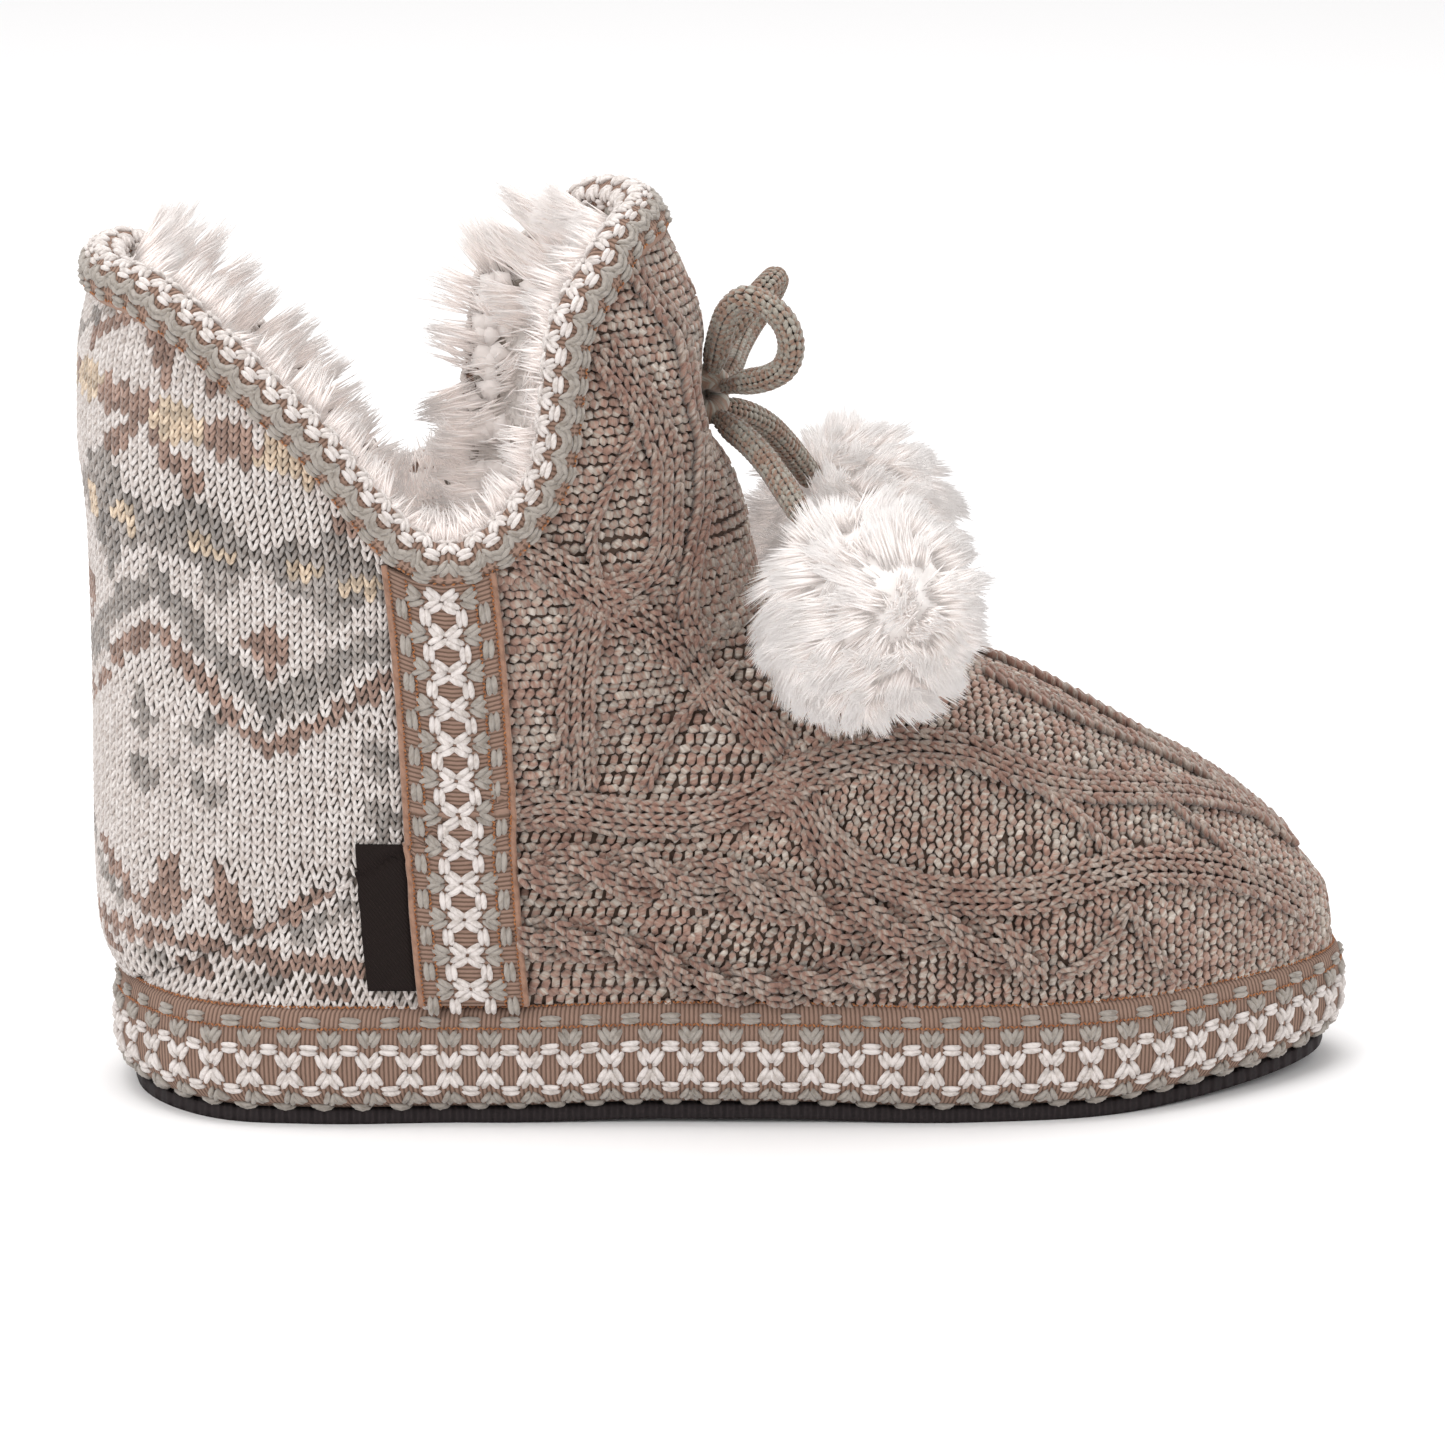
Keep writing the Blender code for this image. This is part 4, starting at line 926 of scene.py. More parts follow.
# Over the foot the courses fan out from the sole, so short rows come in where they part and
# whole ones fall out where they close up.
rows, _ = even_steps(np.linspace(FAN_START, FAN_ROW, 300), np.full(300, FAN_SHARE), BUMP_COURSE)
for i, (row, row_after) in enumerate(zip(rows, np.append(rows[1:], rows[-1]))):
    for half, start in enumerate((row, (row + row_after) / 2)):
        along, share = bump_line(np.full(200, start), np.linspace(-1, 1, 200), i)
        here, there = (upper_point(np.full(len(share), at), share) for at in (row, row_after))
        apart = np.linalg.norm(here - there, axis=1)
        keep = apart > 1.28 * BUMP_COURSE if half else (apart > 0.55 * BUMP_COURSE) | (i % 2 == 0)
        spots.append(np.column_stack([along, share, np.full(len(along), i + half)])[keep])
heights = FEATHER + (np.arange(92) + 0.5) * BUMP_COURSE
for side in (-1, 1):
    for course, z in enumerate(heights[heights <= FRONT_HEIGHT]):
        along, share = bump_line(*level(z, side), course)
        x = upper_point(along, share)[:, 0]
        keep = x > braid_middle(z) + BRAID_WIDTH / 2 - 0.001 - side * twist_at(z)
        keep = keep & (along > rows[-1] + 0.35 * (rows[-1] - rows[-2])) & below_binding(share, z)
        spots.append(np.column_stack([along, share, np.full(len(along), course)])[keep])
# The instep's flat top, where level rows would lie too far apart.
top_rows, _ = even_steps(np.linspace(rows[-1], SHAFT_START, 200), np.zeros(200), BUMP_COURSE)
for i, row in enumerate(top_rows):
    along, share = bump_line(np.full(80, row), np.linspace(-INSTEP_SHARE, INSTEP_SHARE, 80), i)
    spots.append(np.column_stack([along, share, np.full(len(along), i)]))
spots = np.concatenate(spots)
random = np.random.default_rng(21)
centre, normal = lay(spots[:, 0], spots[:, 1], BUMP_RISE)
centre = centre + random.normal(0, BUMP_SHAKE, centre.shape)
_, _, by_share = upper_normal(spots[:, 0], spots[:, 1])
turned = np.where(spots[:, 2] % 2 == 0, 0.42, -0.42) + random.normal(0, 0.16, len(spots))
across, up_way = unit(by_share), np.cross(normal, unit(by_share))
way = across * np.cos(turned)[:, None] + up_way * np.sin(turned)[:, None]
size = random.uniform(0.9, 1.12, len(spots))
broad = BUMP_COURSE * np.where(spots[:, 0] > rows[-1], 1.34, 1.10)
legs = spindles(centre, way, normal, BUMP_WALE * 1.32 * size, broad * size, 0.0020, sag=0.00040, seed=3)
dye = np.minimum(linear("FFFDFB") * random.uniform(0.78, 1.12, (len(spots), 1)), 1.1)
ride_all("upper", yarn_object("vamp_purl_ground", [(legs, dye)], marled))

# Cable ribs and ropes over the vamp and the front of the shaft: knitted in one with the ground,
# and standing up from it. Each rib line has its count of ribs side by side, each rope its width in
# metres, then points listed as station and height in mm.
RIBS = {
    "arch": (3, [
        (81.5, 66.8), (92.2, 67.1), (104.4, 65.1), (116.6, 64.8), (128.9, 67.6), (139.2, 71.9),
        (149.5, 75.5), (161.9, 77.7), (174.3, 76.2), (184.6, 72.3), (195, 68.7), (207.9, 65.8),
        (221.3, 62.5), (235, 56.2), (245, 47.9),
    ]),
    "under_arch": (3, [
        (135.1, 70.4), (141.1, 68.5), (145.5, 61.7), (151.2, 55.8), (159.3, 52.3), (167.5, 49.9),
        (177.8, 48.8), (188.1, 48.8), (198.6, 51.1), (209.2, 52.2), (222.3, 50), (235.6, 44.8),
        (247, 36.9),
    ]),
    "toe_drop": (1, [
        (208.6, 45.1), (213.3, 35.4), (220, 27.5),
    ]),
    "toe_drop_back": (1, [
        (208.6, 45.1), (202.7, 36.6), (194.4, 31.9),
    ]),
    "ridge": (2, [
        (181.1, 87), (194.5, 80.3), (205.1, 74.5), (216, 68.7), (227.4, 62), (237, 54.9),
    ]),
    "cross_back": (1, [
        (190.7, 68.3), (197.9, 63.2), (203, 57.2), (205, 52.7),
    ]),
    "cross_front": (1, [
        (214.5, 64.2), (223.9, 57), (232.4, 49.5), (237.9, 44.2),
    ]),
    "shaft_arc": (3, [
        (101.2, 161.4), (106.5, 153.8), (111.4, 145), (114.1, 135.4), (113.8, 121.2), (109.8, 113.5),
        (101.6, 110.2),
    ]),
    "ankle_fall": (3, [
        (83.2, 122.9), (89.3, 119.5), (100.5, 110.3), (109.8, 104.1), (117.5, 96.8), (123.2, 89),
        (131.3, 83.5), (139.3, 77),
    ]),
    "ankle_down": (3, [
        (98.5, 109.5), (96.4, 100.2), (95.3, 89.8), (95.3, 77.1), (96.3, 69.6),
    ]),
    "ankle_branch": (1, [
        (128.5, 93.2), (121.2, 88.1), (114.8, 80.9), (109.6, 70.5),
    ]),
    "front_edge": (2, [
        (105.6, 179.3), (111.7, 169.6), (117.5, 160.6), (119.5, 148.3), (121.5, 137.8), (121.4, 127.8),
        (119.2, 116.1), (118.1, 108.1), (122.3, 97),
    ]),
    "shaft_back": (1, [
        (109, 146.3), (102.7, 134.9), (98.5, 122.9), (100.5, 110.3),
    ]),
}
ROPES = {
    "side_rope": (0.0125, [
        (83.9, 54.7), (100.2, 54.8), (116.5, 52.8), (128.7, 52.3), (138.9, 48.7), (149.1, 45.6),
        (159.3, 43.5), (169.6, 42.2), (181.9, 37.7), (192.3, 32),
    ]),
    "low_rope": (0.0085, [
        (83.8, 41.3), (100.1, 40.3), (112.4, 35.9), (122.6, 31.5), (134.9, 30.8), (151.2, 33.4),
        (161.4, 36.4),
    ]),
}
RIB_PITCH, RIB_STITCH = 0.0027, 0.0025
RIB_RISE, RIB_LEAN = 0.0011, 0.33
ROPE_TURN, ROPE_SWING, ROPE_HEAVE, ROPE_PITCH = 2.4, 0.23, 0.0019, 0.0030
RIB_DYE = ("EDE4E0", 0.78, 1.0)


def surface_line(route, side):
    """A route of stations and heights in mm as a smooth line of rows and shares on one side."""
    route = np.array(route) / 1000
    run = run_along(route)
    at = np.linspace(0, run[-1], 160)
    smooth_route = through(np.column_stack([run, route]), at)
    return on_side(smooth_route[:, 0], smooth_route[:, 1], side)


def rib_stitches(line, count, seed, rise=RIB_RISE, offset=0.0, pitch=RIB_PITCH):
    """V stitches in ribs side by side along a line of the last. Each rib is a round cord of long
    legs that lean a little out from its middle; rise and offset may change along the line."""
    point, normal = lay(*even_steps(*line, RIB_STITCH))
    way = np.gradient(point, axis=0)
    across = np.cross(unit(way - normal * np.sum(way * normal, axis=1)[:, None]), normal)
    parts = []
    jitter = np.random.default_rng(seed)
    for rib in range(count):
        shift = (rib - (count - 1) / 2) * pitch + offset + np.zeros(len(point))
        track = point + across * shift[:, None] + normal * (rise + np.zeros(len(point)))[:, None]
        track_way = unit(np.gradient(track, axis=0))
        aside = unit(np.cross(track_way, normal))
        for hand in (-1, 1):
            lean = hand * (RIB_LEAN + jitter.normal(0, 0.05, len(point)))
            leg_way = track_way * np.cos(lean)[:, None] + aside * np.sin(lean)[:, None]
            middle = track + aside * (hand * pitch * 0.21) + jitter.normal(0, 0.00008, track.shape)
            size = jitter.uniform(0.94, 1.08, len(point))
            parts.append(spindles(
                middle, leg_way, unit(normal + aside * hand * 0.35),
                RIB_STITCH * 1.72 * size, pitch * 0.56 * size, 0.0025,
                sag=0.00055, tip=-0.00045, seed=seed + rib * 2 + hand + 1))
    return parts


for side, hand in ((-1, "lateral"), (1, "medial")):
    parts = []
    random = np.random.default_rng(31)
    for seed, (count, route) in enumerate(RIBS.values()):
        for legs in rib_stitches(surface_line(route, side), count, 40 + seed * 7):
            parts.append(dyed(legs, *RIB_DYE, random))
    for seed, (width, route) in enumerate(ROPES.values()):
        line = surface_line(route, side)
        run = np.arange(len(even_steps(*line, RIB_STITCH)[0])) * RIB_STITCH
        for strand in range(2):
            phase = run / (ROPE_TURN * width) * 2 * np.pi + strand * np.pi
            rise = RIB_RISE + 0.0002 + ROPE_HEAVE * np.cos(phase)
            offset = np.sin(phase) * width * ROPE_SWING
            number = 200 + seed * 9 + strand * 3
            for legs in rib_stitches(line, 2, number, rise, offset, ROPE_PITCH):
                parts.append(dyed(legs, *RIB_DYE, random))
    ride_all("upper", yarn_object("cable_ribs_" + hand, parts, marled))


# Midsole: a foam slab wrapped in a woven band, glued between the outsole and the feather line.
# Its core wears the band's brown ground, and the band's own face with its loops lies over it.
INSOLE_THICKNESS = 0.0045
OUTSOLE_INSET = 0.0042
INSOLE_CLEARANCE = 0.0042
INSOLE_BEVEL = 0.0030
WRAP_SIDE = np.array([
    (0.00, 2.10), (0.10, 0.80), (0.28, 0.10), (0.55, 0.00), (0.82, 0.15), (0.95, 0.45), (1.00, 0.95),
])


def layer(rings):
    """A sole layer: rings of the outline joined into a wall, with a strip fill at both ends."""
    count = len(rings[0])
    points = np.concatenate(rings)
    k = np.arange(count)
    after = (k + 1) % count
    wall = np.stack([k, after, after + count, k + count], 1)
    walls = [wall + floor * count for floor in range(len(rings) - 1)]
    i = np.arange(1, count // 2 - 1)
    cap = np.stack([i, i + 1, count - i - 1, count - i], 1)
    tips = np.array([[0, 1, count - 1], [count // 2 - 1, count // 2, count // 2 + 1]])
    top = (len(rings) - 1) * count
    faces = walls + [cap[:, ::-1], tips[:, ::-1], cap + top, tips + top]
    return points + SHIFT, closed(points, faces)


# Woven band: the same jacquard ribbon wraps the midsole, runs up both sides and binds the collar.
# Its brown ground has fine ribs across, painted darker in their grooves and lighter on their crests as
# painted shade and light, and loops of thick white and grey-green yarn lie on it.
BAND_PITCH = 0.0082
BAND_RIB = 0.95
band_cloth, tree, shader = new_material("brown_ribbed_band_ground", Roughness=0.92)
place, run, _ = strand_place(tree)
wobble = noise(tree, place, 1.3, 2.0)
rib = maths(tree, "SINE", maths(tree, "MULTIPLY_ADD", run, 2 * math.pi / BAND_RIB, wobble))
# The ribs' brown follows their own wave: painted shade in the grooves, painted light on the crests.
shade = add(tree, "ShaderNodeMapRange", {0: rib, 1: -1.0, 2: 1.0, 3: 0.0, 4: 1.0})
fill(tree, shader, {"Base Color": ramped(tree, shade.outputs[0], "5F493C", "95796A", 0.6)})
relief = maths(tree, "MULTIPLY_ADD", rib, 0.6, noise(tree, place, 5.0, 2.0))
bumped(tree, shader, relief, 0.8, 0.00025)
# Soft loops: hardly twisted, so that their light and dark run long. The thread is fine and even.
loop_yarn = yarn("soft_loop_yarn", [(0.30, "C9C4BE"), (0.55, "FFFFFF")], twist=0.12, ply_depth=0.20)
stitch_thread = yarn("orange_brown_sewing_thread", [(0.30, "B08A6E"), (0.60, "FFFFFF")], ply_depth=0.05)
# One repeat: place along the pitch, place across the width, angle to the run, length and width of
# the loop in mm, and its dye. Rows mirror about the band's middle.
BAND_LOOPS = [
    (0.00, 0.120, 0, 4.6, 2.3, "g"),
    (0.39, 0.250, 58, 4.0, 2.3, "g"), (0.61, 0.250, -58, 4.0, 2.3, "g"),
    (0.00, 0.335, 0, 4.2, 2.3, "w"),
    (0.36, 0.425, 58, 4.2, 2.5, "w"), (0.64, 0.425, -58, 4.2, 2.5, "w"),
    (0.36, 0.575, -58, 4.2, 2.5, "w"), (0.64, 0.575, 58, 4.2, 2.5, "w"),
    (0.00, 0.665, 0, 4.2, 2.3, "w"),
    (0.39, 0.750, -58, 4.0, 2.3, "g"), (0.61, 0.750, 58, 4.0, 2.3, "g"),
    (0.00, 0.880, 0, 4.6, 2.3, "g"),
]
LOOP_DYES = {"w": "DAD2CE", "g": "A39B93"}
# More grey-green loops that close up on the binding's outer flank.
FLANK_LOOPS = [
    (0.12, 0.215, 24, 4.2, 2.3, "g"), (0.88, 0.215, -24, 4.2, 2.3, "g"),
]


LOOP_LIFT = 0.00035
STITCH_STEP, STITCH_LENGTH, THREAD = 0.00085, 0.0013, 0.00055


def strip(grid):
    """A band's face from a grid of points: its frames, and the run along it and across it."""
    u_way = unit(np.gradient(grid, axis=0))
    v_way = unit(np.gradient(grid, axis=1))
    normal = unit(np.cross(u_way, v_way))
    run = run_along(grid[:, grid.shape[1] // 2])
    reach = np.concatenate([[0], np.cumsum(np.linalg.norm(np.diff(grid, axis=1), axis=2).mean(axis=0))])
    return grid, u_way, v_way, normal, run, reach


def on_strip(band, u, v):
    """Point and frames of a band's face at a run along it and a share of its width."""
    grid, u_way, v_way, normal, run, reach = band
    i = np.clip(np.interp(u, run, np.arange(len(run))), 0, len(run) - 1.001)
    j = np.clip(np.interp(v * reach[-1], reach, np.arange(len(reach))), 0, len(reach) - 1.001)
    a, b = i.astype(int), j.astype(int)
    p, q = (i - a)[:, None], (j - b)[:, None]
    return [
        field[a, b] * (1 - p) * (1 - q) + field[a + 1, b] * p * (1 - q)
        + field[a, b + 1] * (1 - p) * q + field[a + 1, b + 1] * p * q
        for field in (grid, u_way, v_way, normal)
    ]


def band_ground(name, band, thickness):
    """The band's brown ground as a thin closed sheet, with its run and reach as coordinates."""
    grid, _, _, normal, run, reach = band
    rows, columns = grid.shape[:2]
    under = grid - normal * thickness
    points, faces = sheet(grid.reshape(-1, 3), under.reshape(-1, 3), rows, columns)
    made = make_object(name, points, faces, band_cloth)
    strand = np.stack(np.meshgrid(run * 1000, reach * 1000, indexing="ij"), -1).reshape(-1, 2)
    give_strand(made.data, np.concatenate([strand, strand]))
    return made


def ways_at(band, u, v, turn):
    """Points of a band's face with the way that is turned from its run, the way aside and the
    normal."""
    point, u_way, v_way, normal = on_strip(band, u, np.full(len(u), v))
    cos, sin = np.cos(turn)[:, None], np.sin(turn)[:, None]
    return point, u_way * cos + v_way * sin, v_way * cos - u_way * sin, normal


def band_loops(name, band, pitch, stitches, closed_ring=True, scale=1.0, middle=0.5, spread=1.0,
               extra=()):
    """The loops of yarn on a band, two strands each, and the sewing stitches along given lines."""
    run = band[4][-1]
    repeats = max(1, round(run / pitch))
    start = np.arange(repeats + (0 if closed_ring else 1)) * run / repeats
    parts = []
    random = np.random.default_rng(17)
    for seed, (along, across, angle, length, width, dye) in enumerate(BAND_LOOPS + list(extra)):
        u = start + along * run / repeats
        u = u % run if closed_ring else u[u < run - 0.001]
        across = min(0.985, middle + (across - 0.5) * spread)
        turn = math.radians(angle) + random.normal(0, 0.05, len(u))
        for strand in (-1, 1):
            point, way, aside, normal = ways_at(band, u, across, turn)
            point = point + aside * (strand * width * scale * 0.24 / 1000) + normal * LOOP_LIFT
            size = random.uniform(0.92, 1.08, len(u))
            legs = spindles(point, way, normal, length * scale * size / 1000,
                            width * scale * 0.62 / 1000, width * 0.62 / 1000,
                            sag=0.0005, rings=3, sides=5, seed=300 + seed * 3 + strand)
            parts.append(dyed(legs, LOOP_DYES[dye], 0.90, 1.0, random))
    loops = yarn_object(name, parts, loop_yarn)
    parts = []
    for seed, v in enumerate(stitches):
        u = np.arange(0.0004, run - 0.0004, STITCH_STEP)
        turn = np.where(np.arange(len(u)) % 2 == 0, 0.65, -0.65) + random.normal(0, 0.15, len(u))
        point, way, _, normal = ways_at(band, u, v, turn)
        legs = spindles(point + normal * 0.00022, way, normal, STITCH_LENGTH, THREAD, THREAD,
                        rings=1, seed=90 + seed)
        parts.append(dyed(legs, "B0703C", 0.7, 1.0, random))
    threads = yarn_object(name.replace("loops", "stitches"), parts, stitch_thread)
    return loops, threads


def evened(grid, guide, count):
    """A grid of points read again at even steps of its guide column's run."""
    run = run_along(grid[:, guide])
    at = np.linspace(0, run[-1], count)
    columns = [[np.interp(at, run, grid[:, j, k]) for k in range(3)] for j in range(grid.shape[1])]
    return np.array(columns).transpose(2, 0, 1)


BAND_STEPS, BAND_COLUMNS = 300, 18
midsole = make_object("midsole_core", *layer([
    sole_ring(FEATHER_INSET * inset + 0.0010, MIDSOLE_FOOT + MIDSOLE_THICKNESS * height)
    for height, inset in WRAP_SIDE
]), band_cloth)
ride_all("midsole", midsole, stands_for="midsole")
heights = np.linspace(1.0, 0.02, BAND_COLUMNS)
rings = np.stack([
    sole_ring(FEATHER_INSET * inset + 0.0004, MIDSOLE_FOOT + MIDSOLE_THICKNESS * height, 400)
    for height, inset in zip(heights, through(WRAP_SIDE, heights)[:, 0])
], axis=1)
rings = np.concatenate([rings, rings[:1]]) + SHIFT
rings = evened(rings, BAND_COLUMNS // 2, BAND_STEPS)
sole_band = strip(rings)
away = rings[10, 9] - rings[:, 9].mean(axis=0)
if sole_band[3][10, 9] @ away <= 0:
    sole_band = strip(rings[::-1])
ride_all("midsole", band_ground("midsole_band_ground", sole_band, 0.0008),
         *band_loops("midsole_band_loops", sole_band, BAND_PITCH, (0.02, 0.21), middle=0.575, spread=1.10))


# Outsole: a thin sheet of dark rubber, moulded with fine ribs across and glued under the midsole.
# Matt and almost black, with little gloss, so that only the ribs' shading shows at its rim.
TREAD_PITCH = 0.00265
rubber, tree, shader = new_material(
    "dark_grey_rubber", Base_Color=paint("2C2526"), Roughness=0.75, Specular_IOR_Level=0.25)


def waves(tree, place, pitch):
    """The socket of a wave across the piece, as bands this far apart in metres."""
    made = add(tree, "ShaderNodeTexWave", {"Vector": place, "Scale": 2 * math.pi / 20 / pitch},
               bands_direction="X")
    return made.outputs[0]


bumped(tree, shader, waves(tree, object_place(tree), TREAD_PITCH), 1.0, 0.0012)
outsole = make_object("outsole_rubber", *layer([
    sole_ring(OUTSOLE_INSET + 0.0003, 0.0),
    sole_ring(OUTSOLE_INSET, OUTSOLE_THICKNESS * 0.3),
    sole_ring(OUTSOLE_INSET, OUTSOLE_THICKNESS),
]), rubber)
ride_all("outsole", outsole, stands_for="outsole")


# Insole: a foam foot bed covered in white teddy fleece, laid loose on the midsole inside the
# upper. Soft and matt, with a faint sheen, and its short curls are bump.
def curls(tree, shader):
    """Short pressed curls of fleece as bump: noise of 4 mm lumps under finer noise."""
    bumped(tree, shader, noise(tree, object_place(tree), 260.0, 5.0, Distortion=1.5), 1.0, 0.0022)


fleece, tree, shader = new_material(
    "white_teddy_fleece", Base_Color=paint("F0ECEA"), Roughness=0.95, Sheen_Weight=0.3)
curls(tree, shader)
inset = FEATHER_INSET + WALL + INSOLE_CLEARANCE
insole = make_object("insole_fleece", *layer([
    sole_ring(inset, FEATHER),
    sole_ring(inset + INSOLE_BEVEL * 0.2, FEATHER + INSOLE_THICKNESS * 0.4),
    sole_ring(inset + INSOLE_BEVEL, FEATHER + INSOLE_THICKNESS),
]), fleece)
ride_all("insole", insole, stands_for="insole")


# Side braids and label: the band's own ribbon, piped at both edges, is sewn up each side from the
# feather line to the binding, over the seam where heel and vamp meet. The label, a bare woven tab,
# is sewn in at its rear edge on the outer side.
OVERLAY_GAP = 0.0009
BRAID_THICKNESS = 0.0016
LABEL_HEIGHT, LABEL_WIDTH, LABEL_THICKNESS = 0.0310, 0.0100, 0.0008
UNDER_BINDING = 0.0040
BRAID_COLUMNS, BRAID_ROWS, PIPING_STEPS, PIPING_SIDES = 17, 60, 90, 8
LABEL_COLUMNS, LABEL_ROWS, LABEL_LIFT = 9, 40, 0.12
DIP_STEPS, DIP_SPAN = 160, (0.36, 0.66)


def binding_foot(x, side):
    """Height of the binding's lower edge where the view from the side shows it at x, by the dip."""
    share = (np.arange(DIP_STEPS) + 0.5) * 2 / DIP_STEPS - 1
    along, _, _, steps = collar_frame(share)
    down = BINDING_HEIGHT + 6 * GAP
    edge = upper_point(along + steps[:, 0] * down, share + steps[:, 1] * down)
    dip = (share * side > DIP_SPAN[0]) & (share * side < DIP_SPAN[1])
    order = np.argsort(edge[dip, 0])
    return np.interp(x, edge[dip, 0][order], edge[dip, 2][order])


def on_the_side(offsets, foot, top, side, count, rise):
    """A grid of points on one side of the last, at these offsets from the braid's middle and up
    from foot to top in count rows, raised along its normal; with that normal."""
    z = foot + (top - foot) * np.linspace(0, 1, count)[:, None]
    along, share = side_spot((braid_middle(z) + offsets).ravel(), z.ravel(), side)
    point, normal = lay(along, share, rise)
    return point.reshape(count, len(offsets), 3), normal.reshape(count, len(offsets), 3)


for side, hand in ((-1, "lateral"), (1, "medial")):
    offsets = np.linspace(-BRAID_WIDTH / 2, BRAID_WIDTH / 2, BRAID_COLUMNS)
    foot = FEATHER + 2 * GAP + sole_lift(braid_middle(FEATHER) + offsets, FEATHER)
    top = binding_foot(braid_middle(DIP_HEIGHT) + offsets - side * SHAFT_TWIST, side) + UNDER_BINDING
    rise = OVERLAY_GAP + BRAID_THICKNESS - 0.0006
    face, _ = on_the_side(offsets, foot, top, side, BRAID_ROWS, rise)
    side_band = strip(face if side < 0 else face[:, ::-1])
    if side_band[3][BRAID_ROWS // 2, BRAID_COLUMNS // 2, 1] * side < 0:
        side_band = strip(face if side > 0 else face[:, ::-1])
    ride_all("braid", band_ground("side_braid_ground_" + hand, side_band, 0.0010),
             stands_for="side_braid_" + hand)
    ride_all("braid", *band_loops("side_braid_loops_" + hand, side_band, BAND_PITCH * 0.95,
                                  (0.03, 0.19, 0.81, 0.97), False))
    for edge_name, v in (("rear", 0.0), ("front", 1.0)):
        u = np.linspace(0.0, side_band[4][-1], PIPING_STEPS)
        point, _, _, normal = on_strip(side_band, u, np.full(PIPING_STEPS, v))
        piping, _ = round_yarn(point - normal * 0.0001, 0.0007, PIPING_SIDES, u * 1000)
        name = "side_braid_piping_%s_%s" % (edge_name, hand)
        ride_all("braid", yarn_object(name, [(piping, linear("94705C")[None])], loop_yarn))
# Dark twill: a near-black brown with little gloss, and fine slanting ribs that catch the light.
twill, tree, shader = new_material(
    "dark_brown_woven_label", Base_Color=paint("1C1412"), Roughness=0.85, Specular_IOR_Level=0.15)
slant = {"Vector": object_place(tree), "Rotation": (0, math.radians(35), 0)}
slanting = add(tree, "ShaderNodeMapping", slant)
bumped(tree, shader, waves(tree, slanting.outputs[0], 0.0006), 0.6, 0.0002)
edge = -BRAID_WIDTH / 2 - 2 * GAP
foot = FEATHER + LABEL_LIFT * LABEL_HEIGHT + np.zeros(LABEL_COLUMNS)
under, normal = on_the_side(np.linspace(edge - LABEL_WIDTH, edge, LABEL_COLUMNS), foot,
                            foot + LABEL_HEIGHT, -1, LABEL_ROWS, OVERLAY_GAP)
over = under + normal * LABEL_THICKNESS
label = make_object("label_bare", *sheet(over.reshape(-1, 3), under.reshape(-1, 3), *over.shape[:2]), twill)
ride_all("label", label, stands_for="label")


# Collar binding: the same ribbon folded over the collar's edge all the way round and sewn through
# at its foot. A plain folded core lies under its face, and loops close up on the outer flank.
BINDING_THICKNESS = 0.0021
BINDING_SHOWN = 0.0048
FOLD_SWELL = np.array([0.62, 0.95, 1.05, 0.98]) * BINDING_THICKNESS
COLLAR_STEPS = 220
BINDING_COLUMNS = 24


def binding_section(share):
    """The folded ribbon's own section at each share: points from the outer foot over the edge to
    the inner foot."""
    along, normal, over, steps = collar_frame(share)
    outer, inner = [], []
    for down, thick in zip(np.linspace(1, 0, len(FOLD_SWELL)), FOLD_SWELL):
        for leg, depth, way in ((outer, BINDING_SHOWN, 1), (inner, BINDING_HEIGHT, -1)):
            on_wall = upper_point(along + steps[:, 0] * down * depth, share + steps[:, 1] * down * depth)
            leg.append(on_wall + normal * (way * (thick + GAP) - WALL * (way < 0)))
    edge = upper_point(along, share)
    top = BINDING_THICKNESS + 3 * GAP
    crown = [
        edge + normal * (BINDING_THICKNESS * 0.55) + over * top * 0.80,
        edge - normal * (WALL / 2) + over * top,
        edge - normal * (WALL + BINDING_THICKNESS * 0.55) + over * top * 0.80,
    ]
    return np.stack(outer + crown + inner[::-1], axis=1) + SHIFT


def ring_sheet(section):
    """Sections round the collar joined into one closed ring."""
    count, size = section.shape[:2]
    r, c = np.meshgrid(np.arange(count), np.arange(size), indexing="ij")
    r, c = r.ravel(), c.ravel()
    faces = np.stack([r * size + c, r * size + (c + 1) % size,
                      (r + 1) % count * size + (c + 1) % size, (r + 1) % count * size + c], 1)
    points = section.reshape(-1, 3)
    return points, closed(points, [faces])


binding = binding_section((np.arange(COLLAR_STEPS) + 0.5) * 2 / COLLAR_STEPS - 1)
collar_band = make_object("binding_core", *ring_sheet(binding), band_cloth)
ride_all("binding", collar_band, stands_for="collar_binding")
run_across = np.concatenate([[0], np.cumsum(np.linalg.norm(np.diff(binding, axis=1), axis=2).mean(axis=0))])
at = np.linspace(0, run_across[-1], BINDING_COLUMNS)
binding_grid = np.array([through(np.column_stack([run_across, fold]), at) for fold in binding])
binding_grid = evened(np.concatenate([binding_grid, binding_grid[:1]]), 8, BAND_STEPS)
collar_strip = strip(binding_grid)
if collar_strip[3][100, 3] @ (binding_grid[100, 3] - binding_grid[100].mean(axis=0)) < 0:
    collar_strip = strip(binding_grid[::-1])
ride_all("binding", band_ground("binding_band_ground", collar_strip, 0.0006),
         *band_loops("binding_band_loops", collar_strip, 0.0056, (0.02,), scale=0.95, middle=0.455,
                     spread=1.08, extra=FLANK_LOOPS))
